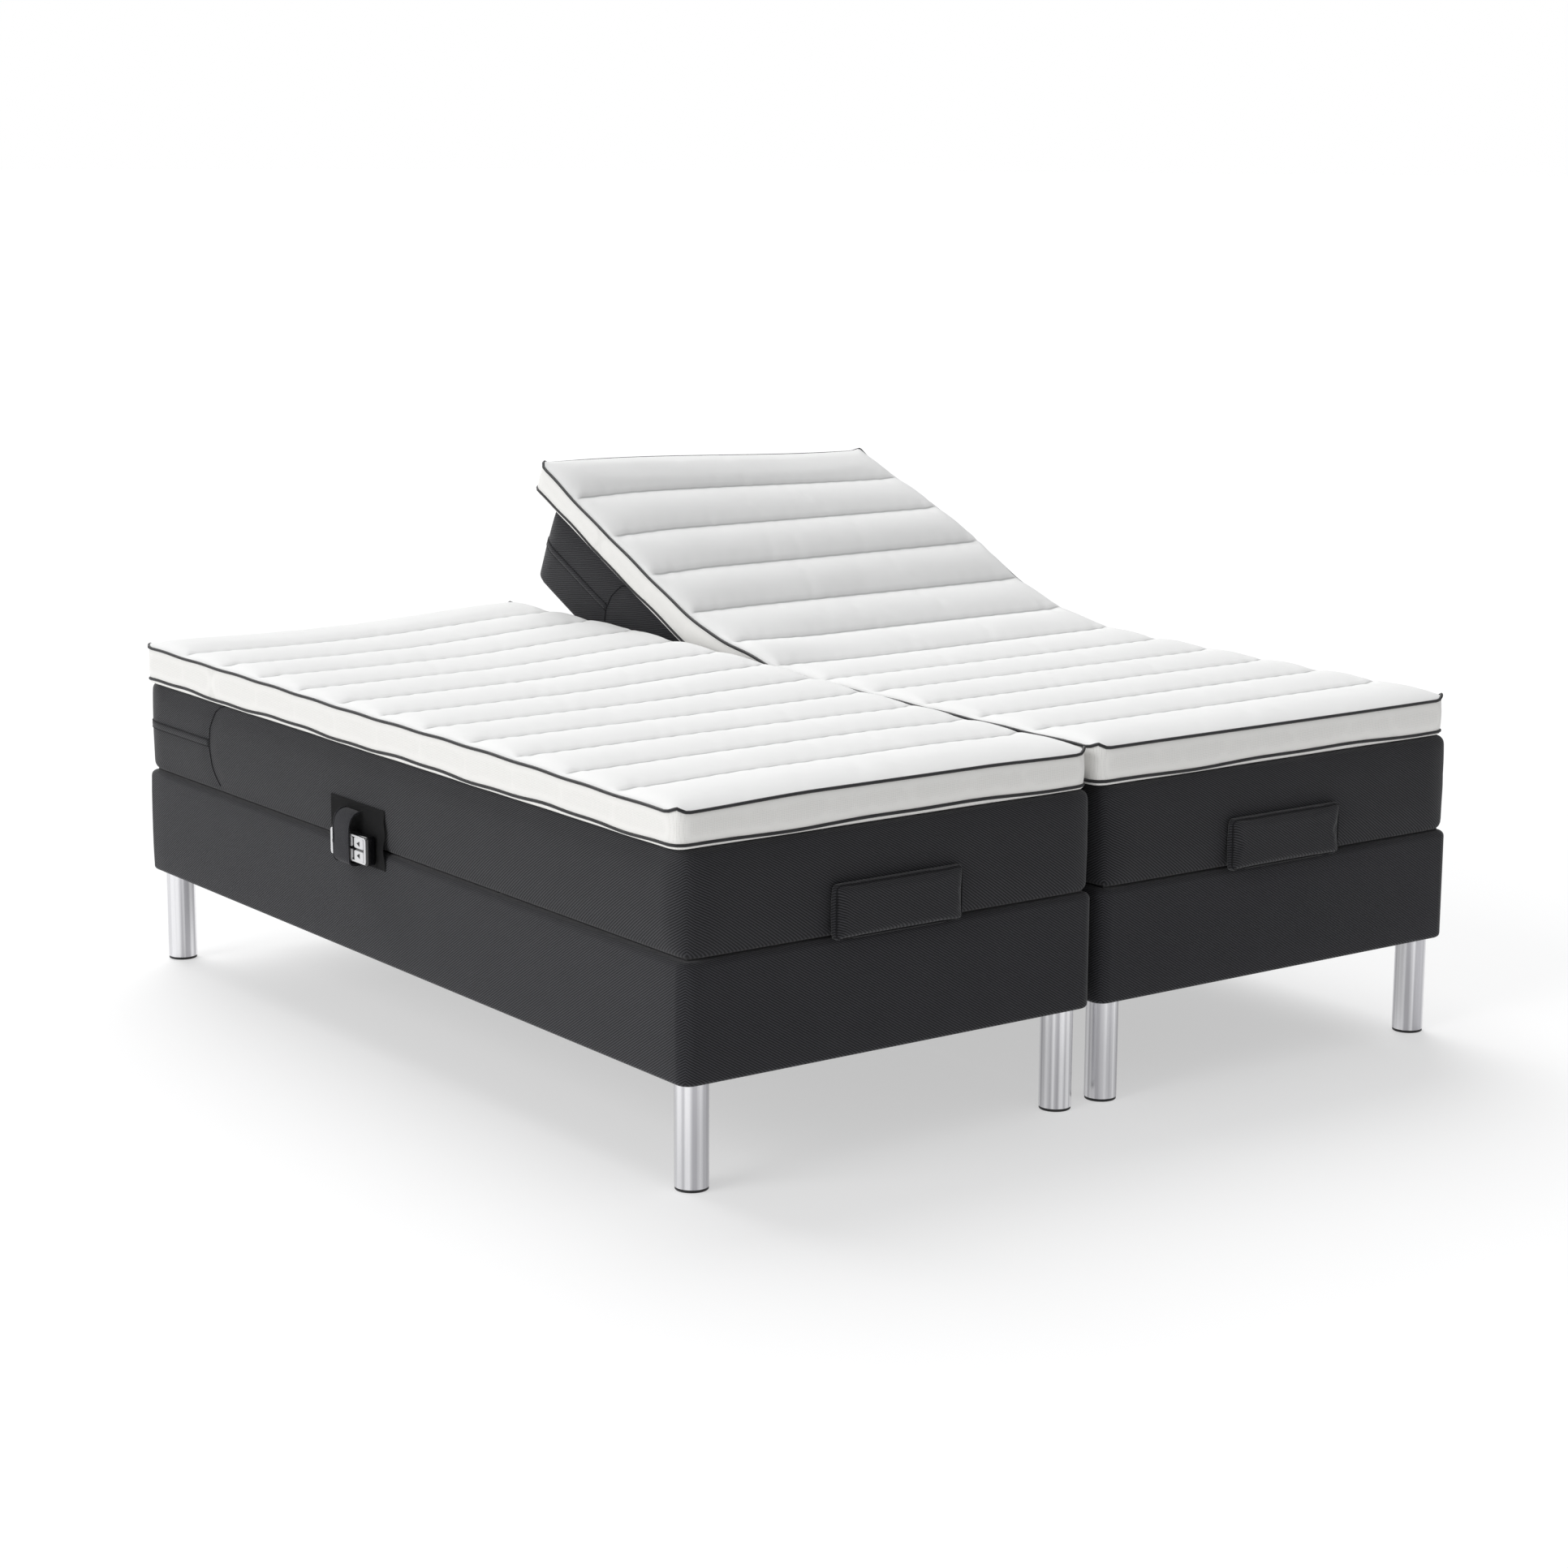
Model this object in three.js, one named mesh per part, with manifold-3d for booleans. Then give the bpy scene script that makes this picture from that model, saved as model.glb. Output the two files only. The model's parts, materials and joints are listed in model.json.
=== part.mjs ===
// A split adjustable bed: two upholstered box units side by side, each with a four-section
// lifting deck, a spring mattress and a quilted topper in four sections, a foot-end retainer
// pad, linear drives, and one wireless handset in a holder on the outer side.
// Millimetres, +Z up, head end towards +Y, floor at z = 0.

import * as THREE from 'three';
import { mergeVertices } from 'three/addons/utils/BufferGeometryUtils.js';
import Module from 'manifold-3d';

const wasm = await Module();
wasm.setup();

// Whole bed
const UNIT_WIDTH = 900;
const UNIT_LENGTH = 2000;
const UNIT_GAP = 16;
const GAP = 0.3;
const HEAD_Y = UNIT_LENGTH / 2;
const FOOT_Y = -UNIT_LENGTH / 2;
const SIDE_X = UNIT_WIDTH / 2;
const UNIT_X = (UNIT_WIDTH + UNIT_GAP) / 2;

// Legs and box
const LEG_HEIGHT = 192;
const LEG_RADIUS = 30;
const LEG_WALL = 2;
const LEG_INSET_X = 47;
const LEG_INSET_Y = 46;
const GLIDE_HEIGHT = 5;
const BOX_HEIGHT = 214;
const BOX_TOP = LEG_HEIGHT + BOX_HEIGHT;
const COVER_THICKNESS = 14;
const CLOTH_THICKNESS = 3;
const BOARD_THICKNESS = 20;
const CORNER_RADIUS = 28;
const EDGE_RADIUS = 13;

// Deck and its hinges
const DECK_TOP = BOX_TOP + 12;
const DECK_THICKNESS = DECK_TOP - BOX_TOP - GAP;
const DECK_INSET = 18;
const BACK_HINGE_Y = 200;
const THIGH_HINGE_Y = -30;
const KNEE_HINGE_Y = -390;
const HINGE_CLEARANCE = 4;
const KNEE_CLEARANCE = 6;
const RAIL = { width: 25, height: 25, x: 380 };
const RAISED_BACK = THREE.MathUtils.degToRad(25);

// Soft parts
const MATTRESS_THICKNESS = 178;
const MATTRESS_TOP = DECK_TOP + GAP + MATTRESS_THICKNESS;
const TOPPER_BOTTOM = MATTRESS_TOP + GAP;
const TOPPER_THICKNESS = 76;
const TOPPER_WIDTH = 896;
const TOPPER_SHIFT_X = -10;
const TOPPER_SLIP = 83;
const PAD = { width: 284, depth: 24, height: 94, bottom: 414, x: -12 };

// Drives inside the box
const DRIVE_X = 170;
const DRIVE_Z = 278;
const TUBE_RADIUS = 22;
const BORE_RADIUS = 11;
const ROD_RADIUS = 8;
const EYE = 30;
const CHEEK = { gap: 40, thickness: 5 };
const BACK_TRAVEL_PER_RADIAN = 143.2;
const BACK_RAIL_Y = -335;
const LEG_RAIL_Y = 435;
const CROSS_RAIL_TOP = 368;

// Handset and its holder, on the outer side of the left unit
const HOLDER_DEPTH = 38;
const PATCH = { thickness: 4, y0: -14, y1: 196, z0: 375, z1: 494 };
const STRAP = { thickness: 3, width: 72, y: 106, top: 478, bottom: 374 };
const HANDSET = { thickness: 22, length: 140, height: 57, y: 86, z: 411.5 };
const BUTTON = { length: 34, height: 20, pitchY: 43, pitchZ: 25, proud: 1.5, thickness: 3.7 };
const POCKET = { clearance: 0.4, depth: 4 };

// The origin is at the middle of the bed's footprint, which the holder and the pads widen
const ORIGIN_SHIFT_X = HOLDER_DEPTH / 2;
const ORIGIN_SHIFT_Y = (PAD.depth + 2 * GAP) / 2;

const MATERIALS = {
  blackTwill: { color: '#26262a', roughness: 0.95, metalness: 0 },
  blackLining: { color: '#141416', roughness: 0.8, metalness: 0 },
  whiteQuilt: { color: '#ebebea', roughness: 0.9, metalness: 0 },
  brushedSteel: { color: '#b9bbbe', roughness: 0.35, metalness: 1 },
  paintedSteel: { color: '#2b2c2f', roughness: 0.5, metalness: 0.6 },
  blackPlywood: { color: '#1d1d1f', roughness: 0.8, metalness: 0 },
  chromedRod: { color: '#c4c6c9', roughness: 0.2, metalness: 1 },
  pine: { color: '#d8b888', roughness: 0.75, metalness: 0 },
  greyPlastic: { color: '#3a3b3e', roughness: 0.55, metalness: 0 },
  handsetPlastic: { color: '#101012', roughness: 0.35, metalness: 0 },
  buttonPlastic: { color: '#8d8f92', roughness: 0.45, metalness: 0 },
};

function mesh(name, geometry, material) {
  const made = new THREE.Mesh(geometry, new THREE.MeshStandardMaterial(MATERIALS[material]));
  made.name = name;
  return made;
}

// Booleans

function solid(geometry) {
  const bare = geometry.clone();
  bare.deleteAttribute('normal');
  bare.deleteAttribute('uv');
  const merged = mergeVertices(bare, 1e-3);
  return new wasm.Manifold(new wasm.Mesh({
    numProp: 3,
    vertProperties: new Float32Array(merged.attributes.position.array),
    triVerts: new Uint32Array(merged.index.array),
  }));
}

function geometryOf(manifold) {
  const made = manifold.getMesh();
  const geometry = new THREE.BufferGeometry();
  geometry.setAttribute('position', new THREE.BufferAttribute(made.vertProperties, 3));
  geometry.setIndex(new THREE.BufferAttribute(made.triVerts, 1));
  geometry.computeVertexNormals();
  return geometry;
}

function joined(geometries) {
  return geometryOf(geometries.map(solid).reduce((whole, piece) => whole.add(piece)));
}

function cut(geometry, tools) {
  return geometryOf(tools.map(solid).reduce((whole, tool) => whole.subtract(tool), solid(geometry)));
}

// Basic shapes

function block(x0, x1, y0, y1, z0, z1) {
  const geometry = new THREE.BoxGeometry(x1 - x0, y1 - y0, z1 - z0);
  return geometry.translate((x0 + x1) / 2, (y0 + y1) / 2, (z0 + z1) / 2);
}

function roundedOutline(width, length, radius) {
  const x = width / 2 - radius;
  const y = length / 2 - radius;
  const outline = new THREE.Shape();
  outline.absarc(x, y, radius, 0, Math.PI / 2);
  outline.absarc(-x, y, radius, Math.PI / 2, Math.PI);
  outline.absarc(-x, -y, radius, Math.PI, 1.5 * Math.PI);
  outline.absarc(x, -y, radius, 1.5 * Math.PI, 2 * Math.PI);
  return outline;
}

// A soft-edged slab standing on z = 0
function softSlab(width, length, height, cornerRadius, edgeRadius) {
  const geometry = new THREE.ExtrudeGeometry(roundedOutline(width, length, cornerRadius), {
    depth: height - 2 * edgeRadius,
    bevelThickness: edgeRadius,
    bevelSize: edgeRadius,
    bevelOffset: -edgeRadius,
    bevelSegments: 3,
    curveSegments: 4,
  });
  return geometry.translate(0, 0, edgeRadius);
}

function straightSlab(width, length, height, cornerRadius) {
  return new THREE.ExtrudeGeometry(roundedOutline(width, length, cornerRadius), {
    depth: height,
    bevelEnabled: false,
    curveSegments: 4,
  });
}

// A plate with its outline in the Y-Z plane, extruded from x0 to x1
function sidePlate(points, x0, x1) {
  const outline = new THREE.Shape(points.map(([y, z]) => new THREE.Vector2(y, z)));
  const geometry = new THREE.ExtrudeGeometry(outline, { depth: x1 - x0, bevelEnabled: false });
  const turn = new THREE.Matrix4().makeBasis(
    new THREE.Vector3(0, 1, 0),
    new THREE.Vector3(0, 0, 1),
    new THREE.Vector3(1, 0, 0),
  );
  return geometry.applyMatrix4(turn).translate(x0, 0, 0);
}

// A round piece along Y from its [radius, distance] profile; direction is +1 or -1
function turnedAlongY(profile, direction, segments = 20) {
  const points = profile.map(([radius, distance]) => new THREE.Vector2(radius, distance));
  const geometry = new THREE.LatheGeometry(points, segments);
  return direction > 0 ? geometry : geometry.rotateZ(Math.PI);
}

// Legs: a steel tube, open at the top, over a narrower glide
function legGeometry() {
  const glide = LEG_RADIUS - 2;
  const inside = LEG_RADIUS - LEG_WALL;
  const top = LEG_HEIGHT - GAP;
  const profile = [
    [0, 0], [glide - 1, 0], [glide, 1], [glide, GLIDE_HEIGHT], [LEG_RADIUS, GLIDE_HEIGHT],
    [LEG_RADIUS, top], [inside, top], [inside, GLIDE_HEIGHT + 5], [0, GLIDE_HEIGHT + 5],
  ];
  const points = profile.map(([radius, height]) => new THREE.Vector2(radius, height));
  return new THREE.LatheGeometry(points, 28).rotateX(Math.PI / 2);
}

function legs(side) {
  const legX = SIDE_X - LEG_INSET_X;
  const legY = HEAD_Y - LEG_INSET_Y;
  const made = [];
  for (const [end, y] of [['foot', -legY], ['head', legY]]) {
    for (const [where, x] of [['west', -legX], ['east', legX]]) {
      const leg = mesh(`${side}_leg_${end}_${where}`, legGeometry(), 'brushedSteel');
      leg.position.set(x, y, 0);
      made.push(leg);
    }
  }
  return made;
}

// Box: a padded cover with a cloth underside, around a wooden carcass
function boxCover(side) {
  const outer = softSlab(UNIT_WIDTH, UNIT_LENGTH, BOX_HEIGHT, CORNER_RADIUS, EDGE_RADIUS);
  const inner = straightSlab(
    UNIT_WIDTH - 2 * COVER_THICKNESS,
    UNIT_LENGTH - 2 * COVER_THICKNESS,
    BOX_HEIGHT,
    CORNER_RADIUS - COVER_THICKNESS,
  );
  const cover = cut(outer, [inner.translate(0, 0, CLOTH_THICKNESS)]);
  return mesh(`${side}_box_cover`, cover.translate(0, 0, LEG_HEIGHT), 'blackTwill');
}

function carcass(side) {
  const bottom = LEG_HEIGHT + CLOTH_THICKNESS + GAP;
  const height = BOX_TOP - bottom;
  const width = UNIT_WIDTH - 2 * (COVER_THICKNESS + GAP);
  const length = UNIT_LENGTH - 2 * (COVER_THICKNESS + GAP);
  const outer = straightSlab(width, length, height, CORNER_RADIUS - COVER_THICKNESS);
  const hollow = new THREE.BoxGeometry(
    width - 2 * BOARD_THICKNESS, length - 2 * BOARD_THICKNESS, 2 * height + 2);
  const ring = solid(outer.translate(0, 0, bottom))
    .subtract(solid(hollow.translate(0, 0, BOX_TOP - height / 2)));
  const reach = width / 2 - BOARD_THICKNESS / 2;
  const half = BOARD_THICKNESS / 2;
  const rails = [BACK_RAIL_Y, LEG_RAIL_Y].map(
    (y) => solid(block(-reach, reach, y - half, y + half, bottom, CROSS_RAIL_TOP)));
  return mesh(`${side}_box_carcass`, geometryOf(ring.add(rails[0]).add(rails[1])), 'pine');
}

// Deck sections: a panel on two rails, and a pair of drive cheeks where a drive pushes
function deckSection(y0, y1, railY0, railY1) {
  const half = SIDE_X - DECK_INSET;
  const railTop = BOX_TOP + GAP + 1;
  const pieces = [block(-half, half, y0, y1, BOX_TOP + GAP, DECK_TOP)];
  for (const x of [-RAIL.x, RAIL.x]) {
    const x0 = x - RAIL.width / 2;
    const bottom = BOX_TOP - RAIL.height;
    pieces.push(block(x0, x0 + RAIL.width, railY0, railY1, bottom, railTop));
  }
  return pieces;
}

function driveCheeks(x, outline) {
  const inside = CHEEK.gap / 2;
  return [
    sidePlate(outline, x - inside - CHEEK.thickness, x - inside),
    sidePlate(outline, x + inside, x + inside + CHEEK.thickness),
  ];
}

function seatDeck(side) {
  const y0 = THIGH_HINGE_Y + HINGE_CLEARANCE;
  const y1 = BACK_HINGE_Y - HINGE_CLEARANCE;
  return mesh(`${side}_seat_deck`, joined(deckSection(y0, y1, y0 + 10, y1 - 10)), 'blackPlywood');
}

function backDeck(side) {
  const hinge = BACK_HINGE_Y;
  const root = BOX_TOP + 1.5;
  const cheek = [
    [hinge + 6, root], [hinge - 89, 300], [hinge - 87, 276], [hinge - 62, 276], [hinge + 72, root],
  ];
  const pieces = deckSection(hinge + HINGE_CLEARANCE, HEAD_Y - DECK_INSET, hinge + 14, HEAD_Y - 60);
  return mesh(`${side}_back_deck`, joined([...pieces, ...driveCheeks(DRIVE_X, cheek)]), 'blackPlywood');
}

function thighDeck(side) {
  const hinge = THIGH_HINGE_Y;
  const root = BOX_TOP + 1.5;
  const cheek = [
    [hinge - 6, root], [hinge - 72, root], [hinge + 24, 261], [hinge + 52, 261], [hinge + 53, 285],
  ];
  const pieces = deckSection(
    KNEE_HINGE_Y + KNEE_CLEARANCE, hinge - HINGE_CLEARANCE, KNEE_HINGE_Y + 40, hinge - 14);
  return mesh(`${side}_thigh_deck`, joined([...pieces, ...driveCheeks(-DRIVE_X, cheek)]), 'blackPlywood');
}

function calfDeck(side) {
  const foot = FOOT_Y + DECK_INSET;
  const pieces = deckSection(foot, KNEE_HINGE_Y - KNEE_CLEARANCE, FOOT_Y + 60, KNEE_HINGE_Y - 40);
  const tongue = block(
    PAD.x - 100, PAD.x + 100, FOOT_Y - PAD.depth + 9, foot + 5, BOX_TOP + GAP, PAD.bottom - GAP);
  return mesh(`${side}_calf_deck`, joined([...pieces, tongue]), 'blackPlywood');
}

// Soft layers, cut into the four deck sections; lean is half the back's raised angle, so the
// two faces of the fold meet along its middle plane
function sectionPrisms(lean, headY) {
  const low = DECK_TOP;
  const high = TOPPER_BOTTOM + TOPPER_THICKNESS + 40;
  const tilt = (high - low) * Math.tan(lean);
  const half = GAP / 2;
  const reach = SIDE_X + 40;
  const strip = (y0, y1, tilt0, tilt1) => sidePlate(
    [[y0, low], [y1, low], [y1 + tilt1, high], [y0 + tilt0, high]], -reach, reach);
  return {
    back: strip(BACK_HINGE_Y + half, headY, tilt, 0),
    seat: strip(THIGH_HINGE_Y + half, BACK_HINGE_Y - half, 0, -tilt),
    thigh: strip(KNEE_HINGE_Y + half, THIGH_HINGE_Y - half, 0, 0),
    calf: strip(FOOT_Y - 40, KNEE_HINGE_Y - half, 0, 0),
  };
}

function softLayer(side, layer, slab, material, lean, headY) {
  const whole = solid(slab);
  const prisms = sectionPrisms(lean, headY);
  const made = {};
  for (const section of Object.keys(prisms)) {
    const piece = geometryOf(whole.intersect(solid(prisms[section])));
    made[section] = mesh(`${side}_${layer}_${section}`, piece, material);
  }
  return made;
}

function mattress(side, lean) {
  const slab = softSlab(UNIT_WIDTH, UNIT_LENGTH, MATTRESS_THICKNESS, CORNER_RADIUS, EDGE_RADIUS);
  slab.translate(0, 0, DECK_TOP + GAP);
  return softLayer(side, 'mattress', slab, 'blackTwill', lean, HEAD_Y + 40);
}

function topper(side, lean, slip) {
  const slab = softSlab(TOPPER_WIDTH, UNIT_LENGTH + slip, TOPPER_THICKNESS, CORNER_RADIUS, 10);
  slab.translate(TOPPER_SHIFT_X, slip / 2, TOPPER_BOTTOM);
  return softLayer(side, 'topper', slab, 'whiteQuilt', lean, HEAD_Y + slip + 40);
}

function retainerPad(side) {
  const pad = softSlab(PAD.width, PAD.depth, PAD.height, 8, 5);
  pad.translate(PAD.x, FOOT_Y - 2 * GAP - PAD.depth / 2, PAD.bottom);
  return mesh(`${side}_retainer_pad`, pad, 'blackTwill');
}

// Linear drives: a bored tube with a gear case and motor under it, and a rod with a square eye.
// back is the end that rests on the cross rail, front is the open end
function drive(name, x, back, front, caseEnd) {
  const direction = Math.sign(front - back);
  const length = Math.abs(front - back);
  const boreDepth = length * 0.66;
  const tube = turnedAlongY([
    [0, 0], [TUBE_RADIUS, 0], [TUBE_RADIUS, length],
    [BORE_RADIUS, length], [BORE_RADIUS, length - boreDepth], [0, length - boreDepth],
  ], direction).translate(x, back, DRIVE_Z);
  const [y0, y1] = [back, caseEnd].sort((a, b) => a - b);
  const gearCase = block(x - 40, x + 40, y0 + 1, y1 - 1, DRIVE_Z - 48, DRIVE_Z - 10);
  const motor = turnedAlongY([[0, 0], [28, 0], [28, 150], [0, 150]], direction)
    .translate(x, back + direction * 12, DRIVE_Z - 48);
  return mesh(name, joined([tube, gearCase, motor]), 'greyPlastic');
}

function rod(name, x, inner, eyeY) {
  const direction = Math.sign(eyeY - inner);
  const length = Math.abs(eyeY - inner);
  const bar = turnedAlongY([[0, 0], [ROD_RADIUS, 0], [ROD_RADIUS, length], [0, length]], direction, 12)
    .translate(x, inner, DRIVE_Z);
  const half = EYE / 2;
  const eye = block(x - half, x + half, eyeY - half, eyeY + half, DRIVE_Z - half, DRIVE_Z + half);
  return mesh(name, joined([bar, eye]), 'chromedRod');
}

function controlBox(side) {
  const front = BACK_RAIL_Y - BOARD_THICKNESS / 2 - GAP;
  const body = block(-90, 90, front - 80, front, 230, 290);
  const inlet = block(50, 72, front - 81, front - 66, 250, 268);
  return mesh(`${side}_control_box`, cut(body, [inlet]), 'greyPlastic');
}

// One unit of the bed, with its back section raised by the given angle
function unit(side, x, backAngle) {
  const slip = backAngle > 0 ? TOPPER_SLIP : 0;
  const soft = mattress(side, backAngle / 2);
  const cover = topper(side, backAngle / 2, slip);
  const half = BOARD_THICKNESS / 2;
  const made = new THREE.Group();
  made.position.x = x;
  made.add(...legs(side), boxCover(side), carcass(side), controlBox(side));
  made.add(seatDeck(side), soft.seat, cover.seat);
  made.add(thighDeck(side), soft.thigh, cover.thigh);
  made.add(calfDeck(side), soft.calf, cover.calf, retainerPad(side));
  made.add(drive(`${side}_back_drive`, DRIVE_X, BACK_RAIL_Y + half + GAP, 70, -215));
  made.add(drive(`${side}_leg_drive`, -DRIVE_X, LEG_RAIL_Y - half - GAP, 80, 315));
  made.add(rod(`${side}_leg_rod`, -DRIVE_X, 280, THIGH_HINGE_Y + 39));

  const backRod = rod(`${side}_back_rod`, DRIVE_X, -90, BACK_HINGE_Y - 75);
  backRod.position.y = BACK_TRAVEL_PER_RADIAN * backAngle;
  made.add(backRod);

  const hinge = new THREE.Group();
  hinge.position.set(0, BACK_HINGE_Y, DECK_TOP);
  hinge.rotation.x = backAngle;
  const section = new THREE.Group();
  section.position.set(0, -BACK_HINGE_Y, -DECK_TOP);
  section.add(backDeck(side), soft.back, cover.back);
  hinge.add(section);
  made.add(hinge);
  return made;
}

// Steel ties that hold the two boxes together from below
function unitTie(name, y) {
  const top = LEG_HEIGHT - GAP;
  return mesh(name, block(-60, 60, y - 25, y + 25, top - 4, top), 'paintedSteel');
}

// Handset holder: a stitched patch, and a strap that loops round the handset
function holderPatch() {
  const back = -SIDE_X - GAP;
  const patch = block(back - PATCH.thickness, back, PATCH.y0, PATCH.y1, PATCH.z0, PATCH.z1);
  return mesh('holder_patch', patch, 'blackLining');
}

function strapSide(offset) {
  const back = -SIDE_X - PATCH.thickness - 2 * GAP;
  const front = -SIDE_X - HOLDER_DEPTH + offset;
  const top = STRAP.top - offset;
  const bottom = STRAP.bottom + offset;
  const curve = new THREE.Path();
  curve.moveTo(back, top);
  curve.quadraticCurveTo(front, top, front, top - 40);
  curve.lineTo(front, bottom + 15);
  curve.quadraticCurveTo(front, bottom, front + 15, bottom);
  curve.lineTo(back, bottom);
  return curve.getPoints(5);
}

function holderStrap() {
  const outline = new THREE.Shape([...strapSide(0), ...strapSide(STRAP.thickness).reverse()]);
  const geometry = new THREE.ExtrudeGeometry(outline, { depth: STRAP.width, bevelEnabled: false });
  const turn = new THREE.Matrix4().makeBasis(
    new THREE.Vector3(1, 0, 0),
    new THREE.Vector3(0, 0, 1),
    new THREE.Vector3(0, -1, 0),
  );
  geometry.applyMatrix4(turn).translate(0, STRAP.y + STRAP.width / 2, 0);
  return mesh('holder_strap', geometry, 'blackTwill');
}

function buttonPlaces() {
  const places = [];
  for (const [column, y] of [['head', 1], ['middle', 0], ['foot', -1]]) {
    for (const [row, z] of [['up', 0.5], ['down', -0.5]]) {
      places.push({
        name: `button_${column}_${row}`,
        y: HANDSET.y + y * BUTTON.pitchY,
        z: HANDSET.z + z * BUTTON.pitchZ,
      });
    }
  }
  return places;
}

function handset() {
  const back = -SIDE_X - PATCH.thickness - 3 * GAP;
  const front = back - HANDSET.thickness;
  const body = softSlab(HANDSET.thickness, HANDSET.length, HANDSET.height, 7, 4);
  body.translate((back + front) / 2, HANDSET.y, HANDSET.z - HANDSET.height / 2);
  const length = BUTTON.length / 2 + POCKET.clearance;
  const height = BUTTON.height / 2 + POCKET.clearance;
  const pockets = buttonPlaces().map(({ y, z }) => block(
    front - 1, front + POCKET.depth, y - length, y + length, z - height, z + height));
  const made = [mesh('handset_body', cut(body, pockets), 'handsetPlastic')];
  const face = front - BUTTON.proud;
  for (const { name, y, z } of buttonPlaces()) {
    const cap = block(
      face, face + BUTTON.thickness,
      y - BUTTON.length / 2, y + BUTTON.length / 2,
      z - BUTTON.height / 2, z + BUTTON.height / 2);
    made.push(mesh(name, cap, 'buttonPlastic'));
  }
  return made;
}

const bed = new THREE.Group();
bed.position.set(ORIGIN_SHIFT_X, ORIGIN_SHIFT_Y, 0);
bed.add(unit('left', -UNIT_X, 0), unit('right', UNIT_X, RAISED_BACK));
bed.add(unitTie('unit_tie_foot', -700), unitTie('unit_tie_head', 700));
const side = new THREE.Group();
side.position.x = -UNIT_X;
side.add(holderPatch(), holderStrap(), ...handset());
bed.add(side);

export default bed;
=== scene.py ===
import json
import math

import bmesh
import bpy
import numpy as np
from mathutils import Matrix, Vector
from mathutils.bvhtree import BVHTree


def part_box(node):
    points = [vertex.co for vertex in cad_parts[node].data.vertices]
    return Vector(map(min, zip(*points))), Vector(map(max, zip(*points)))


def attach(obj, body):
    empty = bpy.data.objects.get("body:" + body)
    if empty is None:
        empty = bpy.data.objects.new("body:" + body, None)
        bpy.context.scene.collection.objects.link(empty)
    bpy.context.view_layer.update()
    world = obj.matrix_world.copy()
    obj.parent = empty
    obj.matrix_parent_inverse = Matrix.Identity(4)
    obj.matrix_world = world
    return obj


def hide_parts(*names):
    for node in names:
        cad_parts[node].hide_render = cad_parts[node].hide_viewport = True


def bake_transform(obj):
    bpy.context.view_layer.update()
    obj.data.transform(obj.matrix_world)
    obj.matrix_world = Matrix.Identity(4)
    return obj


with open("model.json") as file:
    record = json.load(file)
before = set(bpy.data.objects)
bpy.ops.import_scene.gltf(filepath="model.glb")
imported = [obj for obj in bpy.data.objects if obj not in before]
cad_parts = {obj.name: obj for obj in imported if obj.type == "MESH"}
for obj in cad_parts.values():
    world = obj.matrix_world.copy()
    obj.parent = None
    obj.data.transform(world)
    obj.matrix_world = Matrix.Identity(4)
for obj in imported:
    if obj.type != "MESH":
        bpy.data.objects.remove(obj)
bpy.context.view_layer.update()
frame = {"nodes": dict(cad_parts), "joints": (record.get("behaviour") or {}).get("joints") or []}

# A pair of upholstered adjustable single beds standing side by side. The left unit lies flat,
# the right one has its back raised. Everything is in metres.
joints = {joint["name"]: joint for joint in frame["joints"]}
HINGE_Y, HINGE_Z = joints["left_back_lift"]["pos_m"][1:]
RAISED = -math.radians(joints["right_back_lift"]["range_deg"][0])
MIDDLE_Y = (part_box("left_box_cover")[0].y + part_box("left_box_cover")[1].y) / 2
SIDES = ("left", "right")

# The quilting: lines sewn straight across the topper at one spacing, with a wider channel at each end.
CHANNEL = 0.1604
STITCHES = [MIDDLE_Y + CHANNEL * (i - 5) for i in range(11)]
# The soft layers are each one long piece. They are parted at two places across their length.
SEAT_CUT, THIGH_CUT = HINGE_Y - 0.163, HINGE_Y - 0.452
# How far the topper and the mattress slide up a raised back.
TOPPER_SLIP, MATTRESS_SLIP = 0.112, 0.007
MATTRESS_STRAIGHT = (0.416, 0.967)      # half lengths of the flat stretches of its sides


def middle_x(node):
    low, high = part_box(node)
    return (low.x + high.x) / 2


# ---------------------------------------------------------------- camera, floor and light

camera = bpy.data.objects.new("camera", bpy.data.cameras.new("camera"))
bpy.context.scene.collection.objects.link(camera)
camera.data.sensor_width = 36.0
camera.data.lens = 79.2
camera.data.clip_start, camera.data.clip_end = 0.1, 300.0
yaw, pitch, roll = 0.63105, 0.20352, 0.00504
ahead = Vector((math.sin(yaw) * math.cos(pitch), math.cos(yaw) * math.cos(pitch), -math.sin(pitch)))
right = Vector((math.cos(yaw), -math.sin(yaw), 0.0))
up = right.cross(ahead)
turned_right = math.cos(roll) * right + math.sin(roll) * up
turned_up = math.cos(roll) * up - math.sin(roll) * right
camera.matrix_world = Matrix.LocRotScale(
    Vector((-4.0143, -5.5421, 1.8527)), Matrix((turned_right, turned_up, -ahead)).transposed(), None)
bpy.context.scene.camera = camera
bpy.context.scene.view_settings.view_transform = "Standard"


def linear(colour):
    """An sRGB hex colour as linear red, green, blue and alpha."""
    channels = [int(colour[i:i + 2], 16) / 255 for i in (1, 3, 5)]
    return tuple(c / 12.92 if c <= 0.04045 else ((c + 0.055) / 1.055) ** 2.4 for c in channels) + (1.0,)


def feed(tree, node, sources):
    """Joins a node's sockets to what feeds them: a socket, or a node's first output."""
    for name, source in sources.items():
        output = source.outputs[0] if isinstance(source, bpy.types.Node) else source
        tree.links.new(output, node.inputs[name])


def add(tree, kind, values=None, sources=None, **settings):
    """Adds a node with its settings, its socket values and what feeds its sockets."""
    node = tree.nodes.new(kind)
    for name, value in settings.items():
        setattr(node, name, value)
    for name, value in (values or {}).items():
        node.inputs[name].default_value = linear(value) if isinstance(value, str) else value
    feed(tree, node, sources or {})
    return node


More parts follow.
